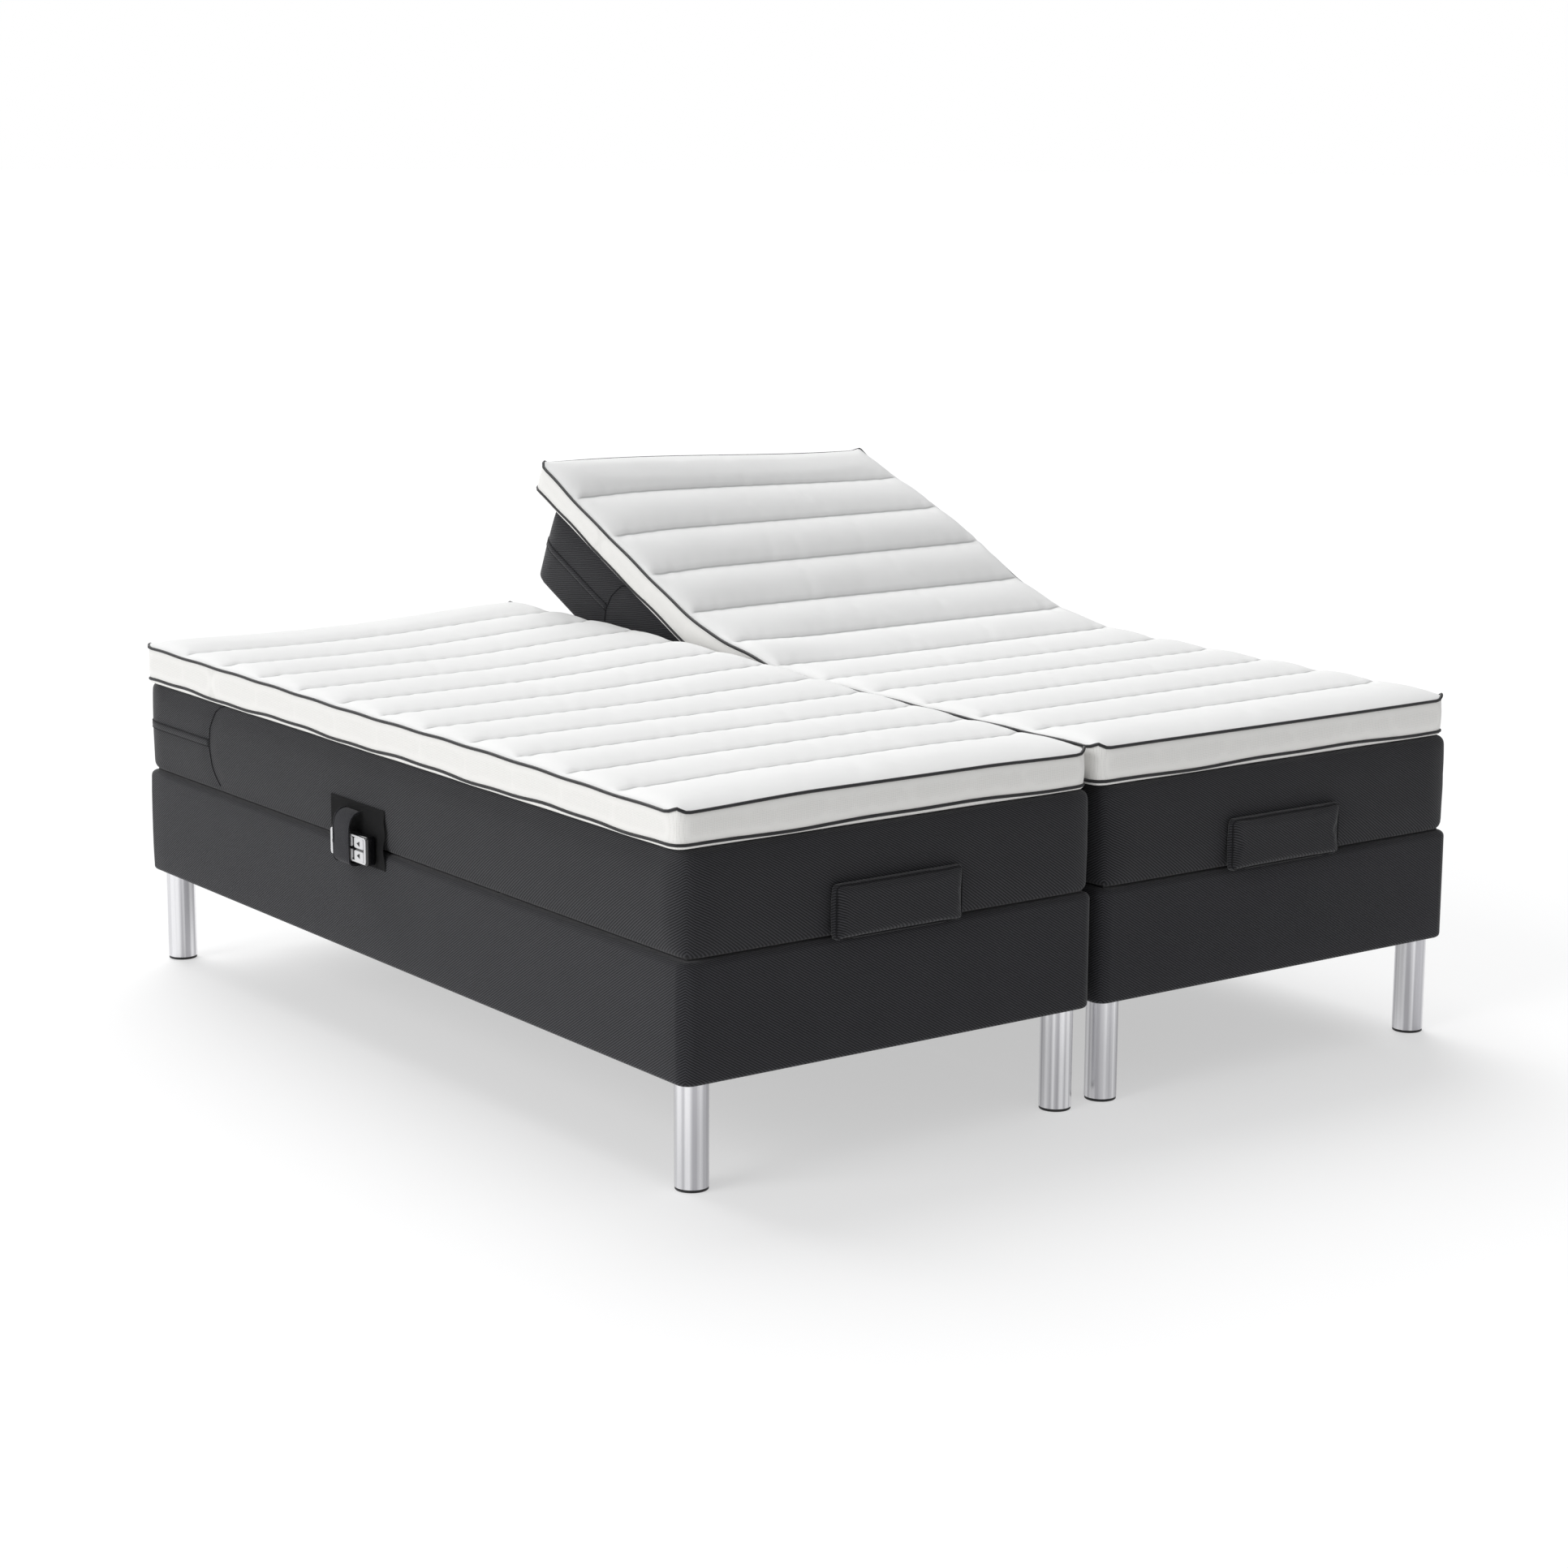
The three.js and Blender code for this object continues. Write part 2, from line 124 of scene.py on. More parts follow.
def new_material(name, **values):
    """A material with the values that are the same all over it, and its nodes."""
    material = bpy.data.materials.new(name)
    material.use_nodes = True
    shader = material.node_tree.nodes["Principled BSDF"]
    for socket, value in values.items():
        shader.inputs[socket.replace("_", " ")].default_value = value
    return material, material.node_tree


def surfaced(material, **sources):
    """Joins the finished colour, shine and relief to the material's surface."""
    tree = material.node_tree
    feed(tree, tree.nodes["Principled BSDF"], {name.replace("_", " "): s for name, s in sources.items()})
    return material


def light(name, strength, size, azimuth, elevation):
    """A very wide soft light that comes from one direction, like a large softbox."""
    sun = bpy.data.objects.new(name, bpy.data.lights.new(name, "SUN"))
    sun.data.energy, sun.data.angle = strength, math.radians(size)
    a, e = math.radians(azimuth), math.radians(elevation)
    towards = Vector((math.sin(a) * math.cos(e), math.cos(a) * math.cos(e), math.sin(e)))
    sun.rotation_mode = "QUATERNION"
    sun.rotation_quaternion = towards.to_track_quat("Z", "Y")
    bpy.context.scene.collection.objects.link(sun)


light("softbox_left", 1.30, 40, -88, 26)
light("softbox_back", 2.45, 50, 15, 46)
world = bpy.data.worlds.new("studio")
bpy.context.scene.world = world
world.use_nodes = True
air = world.node_tree
dome = air.nodes["Background"]
dome.inputs["Color"].default_value = linear("#fcfdff")
dome.inputs["Strength"].default_value = 0.34
backdrop = add(air, "ShaderNodeBackground", {"Color": "#ffffff", "Strength": 1.0})
seen = add(air, "ShaderNodeLightPath")
studio_air = add(air, "ShaderNodeMixShader", None,
                 {"Fac": seen.outputs["Is Camera Ray"], 1: dome, 2: backdrop})
feed(air, air.nodes["World Output"], {"Surface": studio_air})

bpy.ops.object.select_all(action="DESELECT")
bpy.ops.mesh.primitive_circle_add(vertices=96, radius=60, fill_type="NGON", location=(0, 0, -0.0005))
floor = bpy.context.object
floor.name = "studio_floor"
paint, tree = new_material("matt_white_studio_floor", Roughness=0.9, Emission_Color=linear("#ffffff"),
                           Emission_Strength=0.52)
spots = add(tree, "ShaderNodeTexNoise", {"Scale": 0.7, "Detail": 2.0})
tint = add(tree, "ShaderNodeMixRGB", {"Color1": "#b4b4b4", "Color2": "#b8b8b8"}, {"Fac": spots})
floor.data.materials.append(surfaced(paint, Base_Color=tint))

# ---------------------------------------------------------------- materials

WAVE = 0.6283       # a diagonal wave repeats every WAVE / scale along x + y + z


def twill_cloth(name, ground, rib, rib_mm, fuzz):
    """Polyester furniture twill: slanted ribs, each one made of short floats that catch the light,
    with a dark gap between them. The rib's two greys are close, so from afar it reads as one dull black."""
    material, tree = new_material(name, Roughness=0.88, Specular_IOR_Level=0.25, Sheen_Weight=fuzz,
                                  Sheen_Roughness=0.45)
    flat = add(tree, "ShaderNodeAttribute", attribute_name="weave").outputs["Vector"]
    # Drawn out sideways the ribs rise at 32 degrees. On an upright face a repeat is 1.18 rib spacings.
    slanted = add(tree, "ShaderNodeVectorMath", {1: (0.62, 0.62, 1.0)}, {0: flat}, operation="MULTIPLY")
    ribs = add(tree, "ShaderNodeTexWave", {
        "Scale": WAVE / (rib_mm * 0.001177), "Distortion": 0.5, "Detail": 1.0, "Detail Scale": 2.0,
    }, {"Vector": slanted}, wave_type="BANDS", bands_direction="DIAGONAL")
    # The floats cross the ribs, about 2 mm long.
    turned = add(tree, "ShaderNodeVectorMath", {1: (1.0, 1.0, -1.0)}, {0: flat}, operation="MULTIPLY")
    floats = add(tree, "ShaderNodeTexWave", {
        "Scale": WAVE / 0.0029, "Distortion": 1.5, "Detail": 1.0, "Detail Scale": 1.0,
    }, {"Vector": turned}, wave_type="BANDS", bands_direction="DIAGONAL")
    weave = add(tree, "ShaderNodeMixRGB", {"Fac": 0.35},
                {"Color1": ribs.outputs["Fac"], "Color2": floats.outputs["Fac"]}, blend_type="MULTIPLY")
    # Loose fibre ends lie about half a millimetre across, and the dye varies over a hand's width.
    fibres = add(tree, "ShaderNodeTexNoise", {"Scale": 1400.0, "Detail": 2.0}, {"Vector": flat})
    dye = add(tree, "ShaderNodeTexNoise", {"Scale": 9.0, "Detail": 2.0}, {"Vector": flat})
    threads = add(tree, "ShaderNodeMixRGB", {"Color1": ground, "Color2": rib}, {"Fac": weave})
    specks = add(tree, "ShaderNodeValToRGB", None, {"Fac": fibres})
    for stop, place, grey in zip(specks.color_ramp.elements, (0.35, 0.75), ("#b8b8b8", "#ffffff")):
        stop.position, stop.color = place, linear(grey)
    speckled = add(tree, "ShaderNodeMixRGB", {"Fac": 0.8}, {"Color1": threads, "Color2": specks},
                   blend_type="MULTIPLY")
    patches = add(tree, "ShaderNodeMapRange", {"To Min": 0.9, "To Max": 1.1}, {"Value": dye})
    colour = add(tree, "ShaderNodeVectorMath", None, {0: speckled, "Scale": patches}, operation="SCALE")
    relief = add(tree, "ShaderNodeMath", {1: 0.25}, {0: fibres, 2: weave}, operation="MULTIPLY_ADD")
    bump = add(tree, "ShaderNodeBump", {"Strength": 0.7, "Distance": 0.0006}, {"Height": relief})
    return surfaced(material, Base_Color=colour, Normal=bump)


def knit_cloth():
    """White stretch knit of a quilted topper: very fine loops that only show as a soft grain, and a
    faint shine along the crowns."""
    material, tree = new_material("white_stretch_knit", Roughness=0.8, Specular_IOR_Level=0.3,
                                  Sheen_Weight=0.12)
    flat = add(tree, "ShaderNodeAttribute", attribute_name="weave").outputs["Vector"]
    loops = add(tree, "ShaderNodeTexVoronoi", {"Scale": 520.0, "Randomness": 0.35}, {"Vector": flat})
    fluff = add(tree, "ShaderNodeTexNoise", {"Scale": 60.0, "Detail": 4.0, "Roughness": 0.65},
                {"Vector": flat})
    cloud = add(tree, "ShaderNodeTexNoise", {"Scale": 7.0, "Detail": 2.0}, {"Vector": flat})
    tint = add(tree, "ShaderNodeMixRGB", {"Color1": "#e8e8e7", "Color2": "#efefee"}, {"Fac": cloud})
    # The thread pulls the knit into a sharp crease 2 mm wide; its grey is the thread and painted shade in
    # it.
    sewn = add(tree, "ShaderNodeAttribute", attribute_name="crease").outputs["Fac"]
    knit_thread_and_shade = add(tree, "ShaderNodeMixRGB", {"Color2": "#a2a2a2"}, {"Fac": sewn, "Color1": tint})
    relief = add(tree, "ShaderNodeMath", {1: 2.2}, {0: fluff, 2: loops}, operation="MULTIPLY_ADD")
    bump = add(tree, "ShaderNodeBump", {"Strength": 0.35, "Distance": 0.0006}, {"Height": relief})
    return surfaced(material, Base_Color=knit_thread_and_shade, Normal=bump)


def border_mesh():
    """White spacer mesh of the topper's border: open hexagon holes a few millimetres apart."""
    material, tree = new_material("white_spacer_mesh", Roughness=0.85, Specular_IOR_Level=0.25,
                                  Sheen_Weight=0.1)
    flat = add(tree, "ShaderNodeAttribute", attribute_name="weave").outputs["Vector"]
    cells = add(tree, "ShaderNodeTexVoronoi", {"Scale": 330.0, "Randomness": 0.12}, {"Vector": flat})
    hole_depth_and_shade = add(tree, "ShaderNodeMapRange", {"From Min": 0.1, "From Max": 0.45}, {"Value": cells},
                interpolation_type="SMOOTHSTEP")
    # The holes are painted darker, as the shade inside them.
    tint = add(tree, "ShaderNodeMixRGB", {"Color1": "#dddcd9", "Color2": "#f0efec"}, {"Fac": hole_depth_and_shade})
    bump = add(tree, "ShaderNodeBump", {"Strength": 0.4, "Distance": 0.0005}, {"Height": hole_depth_and_shade})
    return surfaced(material, Base_Color=tint, Normal=bump)


def piping_cord():
    """Black satin piping: a bias strip round a filler cord, so its threads wind round it."""
    material, tree = new_material("black_satin_piping", Roughness=0.55, Sheen_Weight=0.1)
    flat = add(tree, "ShaderNodeAttribute", attribute_name="weave").outputs["Vector"]
    threads = add(tree, "ShaderNodeTexWave", {"Scale": WAVE / 0.0014, "Distortion": 0.4, "Detail": 1.0},
                  {"Vector": flat}, wave_type="BANDS", bands_direction="DIAGONAL").outputs["Fac"]
    tint = add(tree, "ShaderNodeMixRGB", {"Color1": "#0c0c0e", "Color2": "#1d1d21"}, {"Fac": threads})
    bump = add(tree, "ShaderNodeBump", {"Strength": 0.5, "Distance": 0.0003}, {"Height": threads})
    return surfaced(material, Base_Color=tint, Normal=bump)


def brushed_tube_steel():
    """Brushed stainless steel tube: hair-fine scratches run along the tube, and long upright
    bands of light and grey are painted into its colour as reflections."""
    material, tree = new_material("brushed_stainless_tube", Metallic=1.0)
    place = add(tree, "ShaderNodeTexCoord").outputs["Object"]
    drawn = add(tree, "ShaderNodeMapping", {"Scale": (1400.0, 1400.0, 9.0)}, {"Vector": place})
    scratches = add(tree, "ShaderNodeTexNoise", {"Scale": 1.0, "Detail": 3.0, "Roughness": 0.6},
                    {"Vector": drawn})
    # Painted reflections: broad darker and brighter bands, 10 to 20 mm wide, down the whole tube.
    bands = add(tree, "ShaderNodeMapping", {"Scale": (85.0, 85.0, 0.4)}, {"Vector": place})
    broad = add(tree, "ShaderNodeTexNoise", {"Scale": 1.0, "Detail": 1.0}, {"Vector": bands})
    reflection_bands = add(tree, "ShaderNodeMapRange", {"From Min": 0.38, "From Max": 0.62}, {"Value": broad})
    # The colour is mostly these painted reflection bands, with some of the scratches.
    reflection_and_scratches = add(tree, "ShaderNodeMixRGB", {"Fac": 0.3}, {"Color1": reflection_bands, "Color2": scratches})
    tint = add(tree, "ShaderNodeMixRGB", {"Color1": "#a9a8ad", "Color2": "#f6f6f8"}, {"Fac": reflection_and_scratches})
    shine = add(tree, "ShaderNodeMapRange", {"To Min": 0.17, "To Max": 0.32}, {"Value": scratches})
    bump = add(tree, "ShaderNodeBump", {"Strength": 0.12, "Distance": 0.0002}, {"Height": scratches})
    return surfaced(material, Base_Color=tint, Roughness=shine, Normal=bump)


def moulded_plastic(name, dark, pale, grain_mm, rough, depth=0.00015, coat=0.0):
    """Injection-moulded plastic: a fine even grain from the mould, and faint random changes of tone
    and shine.
    """
    material, tree = new_material(name, IOR=1.5, Coat_Weight=coat)
    place = add(tree, "ShaderNodeTexCoord").outputs["Object"]
    grain = add(tree, "ShaderNodeTexNoise", {"Scale": 1000.0 / grain_mm, "Detail": 2.0}, {"Vector": place})
    wear = add(tree, "ShaderNodeTexNoise", {"Scale": 25.0, "Detail": 3.0}, {"Vector": place})
    tint = add(tree, "ShaderNodeMixRGB", {"Color1": dark, "Color2": pale}, {"Fac": wear})
    shine = add(tree, "ShaderNodeMapRange", {"To Min": rough - 0.05, "To Max": rough + 0.07},
                {"Value": wear})
    bump = add(tree, "ShaderNodeBump", {"Strength": 0.3, "Distance": depth}, {"Height": grain})
    return surfaced(material, Base_Color=tint, Roughness=shine, Normal=bump)


def sawn_board(name, pale, dark, rough, grain_mm):
    """A board with its grain along x: long pale and dark growth lines with small pores between them."""
    material, tree = new_material(name, Roughness=rough)
    place = add(tree, "ShaderNodeTexCoord").outputs["Object"]
    stretched = add(tree, "ShaderNodeMapping", {"Scale": (1.2, 14.0, 14.0)}, {"Vector": place})
    wander = add(tree, "ShaderNodeTexNoise", {"Scale": 1.6, "Detail": 3.0}, {"Vector": stretched})
    lines = add(tree, "ShaderNodeTexWave", {
        "Scale": 6.0 / grain_mm, "Distortion": 5.0, "Detail": 3.0, "Detail Scale": 1.5,
    }, {"Vector": stretched}, wave_type="RINGS", rings_direction="X")
    pores = add(tree, "ShaderNodeMapping", {"Scale": (60.0, 900.0, 900.0)}, {"Vector": place})
    specks = add(tree, "ShaderNodeTexNoise", {"Scale": 1.0, "Detail": 2.0}, {"Vector": pores})
    mixed = add(tree, "ShaderNodeMixRGB", {"Fac": 0.4}, {"Color1": lines.outputs["Fac"], "Color2": wander})
    tint = add(tree, "ShaderNodeMixRGB", {"Color1": pale, "Color2": dark}, {"Fac": mixed})
    relief = add(tree, "ShaderNodeMath", {1: 0.5}, {0: specks, 2: mixed}, operation="MULTIPLY_ADD")
    bump = add(tree, "ShaderNodeBump", {"Strength": 0.25, "Distance": 0.0004}, {"Height": relief})
    return surfaced(material, Base_Color=tint, Normal=bump)


def smooth_metal(name, dark, pale, rough, metallic, tooth_mm):
    """Drawn or powder-coated steel: a fine tooth in the surface and slight changes of shine."""
    material, tree = new_material(name, Metallic=metallic)
    place = add(tree, "ShaderNodeTexCoord").outputs["Object"]
    tooth = add(tree, "ShaderNodeTexNoise", {"Scale": 1000.0 / tooth_mm, "Detail": 2.0}, {"Vector": place})
    smear = add(tree, "ShaderNodeTexNoise", {"Scale": 18.0, "Detail": 3.0}, {"Vector": place})
    tint = add(tree, "ShaderNodeMixRGB", {"Color1": dark, "Color2": pale}, {"Fac": smear})
    shine = add(tree, "ShaderNodeMapRange", {"To Min": rough - 0.06, "To Max": rough + 0.06},
                {"Value": smear})
    bump = add(tree, "ShaderNodeBump", {"Strength": 0.2, "Distance": 0.0002}, {"Height": tooth})
    return surfaced(material, Base_Color=tint, Roughness=shine, Normal=bump)


box_twill = twill_cloth("black_twill_box", "#101013", "#4a4a4f", 4.1, 0.21)
mattress_twill = twill_cloth("black_twill_mattress", "#101013", "#4a4a4e", 4.1, 0.21)
strap_twill = twill_cloth("black_elastic_twill", "#1b1b1f", "#414147", 2.6, 0.16)
# The lining is near black: the nylon's own black, and painted shade of the pocket round the handset.
lining_and_pocket_shade = twill_cloth("black_nylon_lining", "#070708", "#151517", 1.8, 0.02)
dust_cloth = twill_cloth("black_nonwoven_dust_cloth", "#161618", "#2a2a2c", 3.0, 0.0)
stitch_thread = twill_cloth("black_polyester_thread", "#0d0d0f", "#2b2b30", 0.9, 0.05)
knit = knit_cloth()
border = border_mesh()
piping = piping_cord()
steel = brushed_tube_steel()
glide_nylon = moulded_plastic("black_nylon_glide", "#0e0e10", "#17171a", 0.8, 0.5)
drive_shell = moulded_plastic("grey_glassfilled_nylon", "#2f3033", "#3d3e42", 1.2, 0.55)
gloss_abs = moulded_plastic("black_gloss_abs", "#09090b", "#101013", 0.5, 0.16, 0.00005, 0.6)
silver_abs = moulded_plastic("silver_painted_abs", "#cbcbcd", "#dededf", 0.3, 0.3, 0.00008)
icon_print = moulded_plastic("black_printed_icon", "#17171a", "#1f1f22", 0.3, 0.6)
pine = sawn_board("planed_pine", "#dcc095", "#b98c58", 0.62, 5.0)
black_plywood = sawn_board("black_stained_plywood", "#1c1c1e", "#29292b", 0.6, 4.0)
chromed_rod = smooth_metal("ground_steel_rod", "#b3b6ba", "#c9ccd0", 0.18, 1.0, 0.4)
tie_coat = smooth_metal("black_powder_coat", "#1e1f22", "#2a2b2e", 0.45, 0.0, 0.9)

# ---------------------------------------------------------------- making and moving soft pieces


def mesh_object(name, points, faces, materials, face_materials=None):
    mesh = bpy.data.meshes.new(name)
    mesh.from_pydata([tuple(p) for p in points], [], [tuple(int(i) for i in f) for f in faces])
    made = bpy.data.objects.new(name, mesh)
    bpy.context.scene.collection.objects.link(made)
    for material in materials:
        mesh.materials.append(material)
    if face_materials is not None:
        mesh.polygons.foreach_set("material_index", np.array(face_materials, np.int32))
    mesh.polygons.foreach_set("use_smooth", [True] * len(mesh.polygons))
    return made


def points_of(obj):
    points = np.zeros(len(obj.data.vertices) * 3)
    obj.data.vertices.foreach_get("co", points)
    return points.reshape(-1, 3)


def move_points(obj, points):
    obj.data.vertices.foreach_set("co", np.asarray(points, np.float32).ravel())
    obj.data.update()


def select_only(obj):
    bpy.ops.object.select_all(action="DESELECT")
    obj.select_set(True)
    bpy.context.view_layer.objects.active = obj


def apply_modifier(obj, kind, **settings):
    modifier = obj.modifiers.new(kind.lower(), kind)
    for name, value in settings.items():
        setattr(modifier, name, value)
    select_only(obj)
    bpy.ops.object.modifier_apply(modifier=modifier.name)


def joined(pieces):
    """Makes one piece of several."""
    select_only(pieces[0])
    for piece in pieces:
        piece.select_set(True)
    bpy.ops.object.join()
    return pieces[0]


def face_outwards(obj):
    mesh = bmesh.new()
    mesh.from_mesh(obj.data)
    bmesh.ops.recalc_face_normals(mesh, faces=mesh.faces[:])
    mesh.to_mesh(obj.data)
    mesh.free()


def lay_weave(obj, points=None):
    """Keeps where each point of the cloth lies while the piece is flat, so that the weave stays on it."""
    points = points_of(obj) if points is None else points
    attribute = obj.data.attributes.new("weave", "FLOAT_VECTOR", "POINT")
    attribute.data.foreach_set("vector", np.asarray(points, np.float32).ravel())


def unrolled(points, middle, straight):
    """Where the cloth of round upright corners lies when each half of a corner is rolled out along the
    face next to it, so that the ribs meet in a mitre. straight is the half length of each flat side."""
    flat = points.copy()
    past = np.abs(points[:, :2] - middle) - straight
    corner = np.all(past > 0, axis=1)
    radius, angle = np.hypot(past[:, 0], past[:, 1]), np.arctan2(past[:, 1], past[:, 0])
    rolled = np.column_stack([np.where(angle < math.pi / 4, radius, radius * (math.pi / 2 - angle)),
                              np.where(angle < math.pi / 4, radius * angle, radius)])
    flat[corner, :2] = (middle + np.sign(points[:, :2] - middle) * (straight + rolled))[corner]
    return flat


def smoothstep(low, high, value):
    t = np.clip((value - low) / (high - low), 0, 1)
    return t * t * (3 - 2 * t)


def rounded(x, y, half_x, half_y, corner):
    """Moves the points in a square sheet's corners onto round corners."""
    past_x, past_y = np.abs(x) - (half_x - corner), np.abs(y) - (half_y - corner)
    inside = (past_x > 0) & (past_y > 0)
    u, v = np.where(inside, past_x / corner, 0), np.where(inside, past_y / corner, 0)
    round_x = half_x - corner + corner * u * np.sqrt(1 - v * v / 2)
    round_y = half_y - corner + corner * v * np.sqrt(1 - u * u / 2)
    return np.where(inside, np.sign(x) * round_x, x), np.where(inside, np.sign(y) * round_y, y)


def rows_between(stops, near, spacing):
    """One row on each stop, one close on each side of it, and even rows between."""
    rows = [stops[0]]
    for low, high in zip(stops, stops[1:]):
        count = max(1, round((high - low - 2 * near) / spacing))
        rows += list(np.linspace(low + near, high - near, count + 1)) + [high]
    return np.array(rows)


def slab(name, xs, ys, corner, rings, top_height, bottom, materials):
    """A closed cover round the origin: a sheet on top and one below, joined by the rings of its border.
    rings holds how far out each ring stands and its height, from the top edge down; bottom is the same
    for the edge of the lower sheet. Returns the piece, its rim's points and their outward directions."""
    half_x, half_y = xs[-1], ys[-1]
    flat_x, flat_y = (g.ravel() for g in np.meshgrid(xs, ys, indexing="ij"))
    x, y = rounded(flat_x, flat_y, half_x, half_y, corner)
    index = np.arange(len(x)).reshape(len(xs), len(ys))
    loop = np.concatenate([index[:-1, 0], index[-1, :-1], index[:0:-1, -1], index[0, :0:-1]])
    rim = np.column_stack([x[loop], y[loop]])
    limit = np.array([half_x - corner, half_y - corner])
    out = rim - np.clip(rim, -limit, limit)
    out /= np.linalg.norm(out, axis=1)[:, None]
    layers = [np.column_stack([x, y, top_height(x, y)])]
    layers += [np.column_stack([rim + out * away, height(rim[:, 0], rim[:, 1])]) for away, height in rings]
    away, height = bottom
    low_x, low_y = rounded(flat_x * (half_x + away) / half_x, flat_y * (half_y + away) / half_y,
                           half_x + away, half_y + away, max(corner + away, 0.004))
    layers.append(np.column_stack([low_x, low_y, np.full(len(x), height)]))
    quads = np.column_stack([index[:-1, :-1].ravel(), index[1:, :-1].ravel(),
                             index[1:, 1:].ravel(), index[:-1, 1:].ravel()])
    starts = len(x) + len(loop) * np.arange(len(rings))
    last = len(x) + len(loop) * len(rings)
    loops = [loop] + [start + np.arange(len(loop)) for start in starts] + [last + loop]
    faces, kinds = [quads], [np.zeros(len(quads))]
    for upper, lower in zip(loops, loops[1:]):
        faces.append(np.column_stack([upper, lower, np.roll(lower, -1), np.roll(upper, -1)]))
        kinds.append(np.ones(len(loop)))
    faces.append(last + quads[:, ::-1])
    kinds.append(np.full(len(quads), 2))
    made = mesh_object(name, np.vstack(layers), np.vstack(faces), materials, np.concatenate(kinds))
    return made, loops, out


def stuff(obj, sewn, pressure, most, slack=0.0):
    """Fills a cover from inside: cloth under pressure, held where it is sewn. No point ends further than
    most from where the pattern has it. sewn is how firmly each point is held, 0 to 1."""
    frames = 20
    before = points_of(obj)
    group = obj.vertex_groups.new(name="sewn")
    for firmness in np.unique(sewn[sewn > 0]):
        group.add(np.flatnonzero(sewn == firmness).tolist(), float(firmness), "REPLACE")
    cloth = obj.modifiers.new("cloth", "CLOTH")
    settings = cloth.settings
    settings.quality = 5
    settings.mass = 0.3
    settings.use_pressure = True
    settings.uniform_pressure_force = pressure
    settings.effector_weights.gravity = 0.0
    settings.vertex_group_mass = "sewn"
    settings.shrink_min = -slack
    cloth.point_cache.frame_start, cloth.point_cache.frame_end = 1, frames
    scene = bpy.context.scene
    for frame_number in range(1, frames + 1):
        scene.frame_set(frame_number)
    evaluated = obj.evaluated_get(bpy.context.evaluated_depsgraph_get())
    after = points_of(evaluated)
    obj.modifiers.remove(cloth)
    obj.vertex_groups.remove(group)
    scene.frame_set(1)
    moved = after - before
    far = np.linalg.norm(moved, axis=1)
    keep = np.where(far > most, most / np.maximum(far, 1e-9), 1.0)
    move_points(obj, before + moved * keep[:, None])


def strip(name, path, outward, profile, material, closed=False):
    """A narrow piece laid along a path on a surface. profile is a closed outline of (across, out)."""
    path, outward = np.asarray(path, float), np.asarray(outward, float)
    if closed:
        along = np.roll(path, -1, axis=0) - np.roll(path, 1, axis=0)
    else:
        along = np.gradient(path, axis=0)
    across = np.cross(outward, along)
    across /= np.linalg.norm(across, axis=1)[:, None]
    sides, count = len(profile), len(path)
    points = np.concatenate([path + across * a + outward * o for a, o in profile]).reshape(sides, count, 3)
    points = points.transpose(1, 0, 2).reshape(-1, 3)
    index = np.arange(count * sides).reshape(count, sides)
    following = np.roll(index, -1, axis=0) if closed else index[1:]
    current = index if closed else index[:-1]
    faces = np.stack([current, np.roll(current, -1, 1), np.roll(following, -1, 1), following], -1)
    faces = [tuple(f) for f in faces.reshape(-1, 4)]
    if not closed:
        faces += [tuple(index[0][::-1]), tuple(index[-1])]
    made = mesh_object(name, points, faces, [material])
    face_outwards(made)
    return made


def round_profile(radius, sides=8):
    turn = np.linspace(0, 2 * math.pi, sides, endpoint=False)
    return [(radius * math.cos(a), radius * math.sin(a)) for a in turn]


def stretch_between(whole, name, low, high):
    """The stretch of a long soft piece between two cuts across it, closed where it is cut."""
    piece = bpy.data.objects.new(name, whole.data.copy())
    piece.data.name = name
    bpy.context.scene.collection.objects.link(piece)
    mesh = bmesh.new()
    mesh.from_mesh(piece.data)
    for y, outward in ((low, -1), (high, 1)):
        if y is None:
            continue
        bmesh.ops.bisect_plane(mesh, geom=mesh.verts[:] + mesh.edges[:] + mesh.faces[:], dist=1e-5,
                               plane_co=(0, y, 0), plane_no=(0, outward, 0), clear_outer=True)
        rim = [e for e in mesh.edges if e.is_boundary]
        cap = bmesh.ops.holes_fill(mesh, edges=rim, sides=0)["faces"]
        for edge in rim:
            edge.smooth = False
        for face in cap:
            face.smooth = False
    mesh.to_mesh(piece.data)
    mesh.free()
    return piece


def raise_back(points, slip=0.0):
    """Bends flat soft goods over the raised back: flat, then an arc over the hinge that is wider the
    higher it lies, then straight up the slope. slip is how far the layer slides up the slope."""
    height = points[:, 2] - HINGE_Z
    stack, fade_length = 0.255, 0.350       # the stack is the mattress and the topper together
    reach = 0.060 + 0.170 * height / stack
    slope = math.tan(RAISED / 2)
    radius = reach / slope
    arc = radius * RAISED / 2
    spare = reach - arc
    u = np.clip((points[:, 1] - HINGE_Y) / fade_length, -1, 1)
    fade = 1.5 * u - 0.5 * u ** 3
    along = points[:, 1] - HINGE_Y + slip * (1 + fade) / 2 - (height * slope + spare) * fade
    start = HINGE_Y - height * slope
    turn = np.clip((along + arc) / radius, 0, RAISED)
    before = np.minimum(along + arc, 0)
    after = np.maximum(along - arc, 0)
    bent = points.copy()
    bent[:, 1] = start - reach + before + radius * np.sin(turn) + after * math.cos(RAISED)
    bent[:, 2] = points[:, 2] + radius * (1 - np.cos(turn)) + after * math.sin(RAISED)
    return bent


def bend_on_hinge(piece, stretch):
    """Bakes one stretch of a soft layer in place, the same way for the back, middle and foot."""
    if stretch == "back":
        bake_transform(piece)
    elif stretch == "middle":
        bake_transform(piece)
    else:
        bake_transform(piece)


STRETCHES = {"back": (SEAT_CUT, None), "middle": (THIGH_CUT, SEAT_CUT), "foot": (None, THIGH_CUT)}
NODES_OF = {"back": ("back", "seat"), "middle": ("thigh",), "foot": ("calf",)}


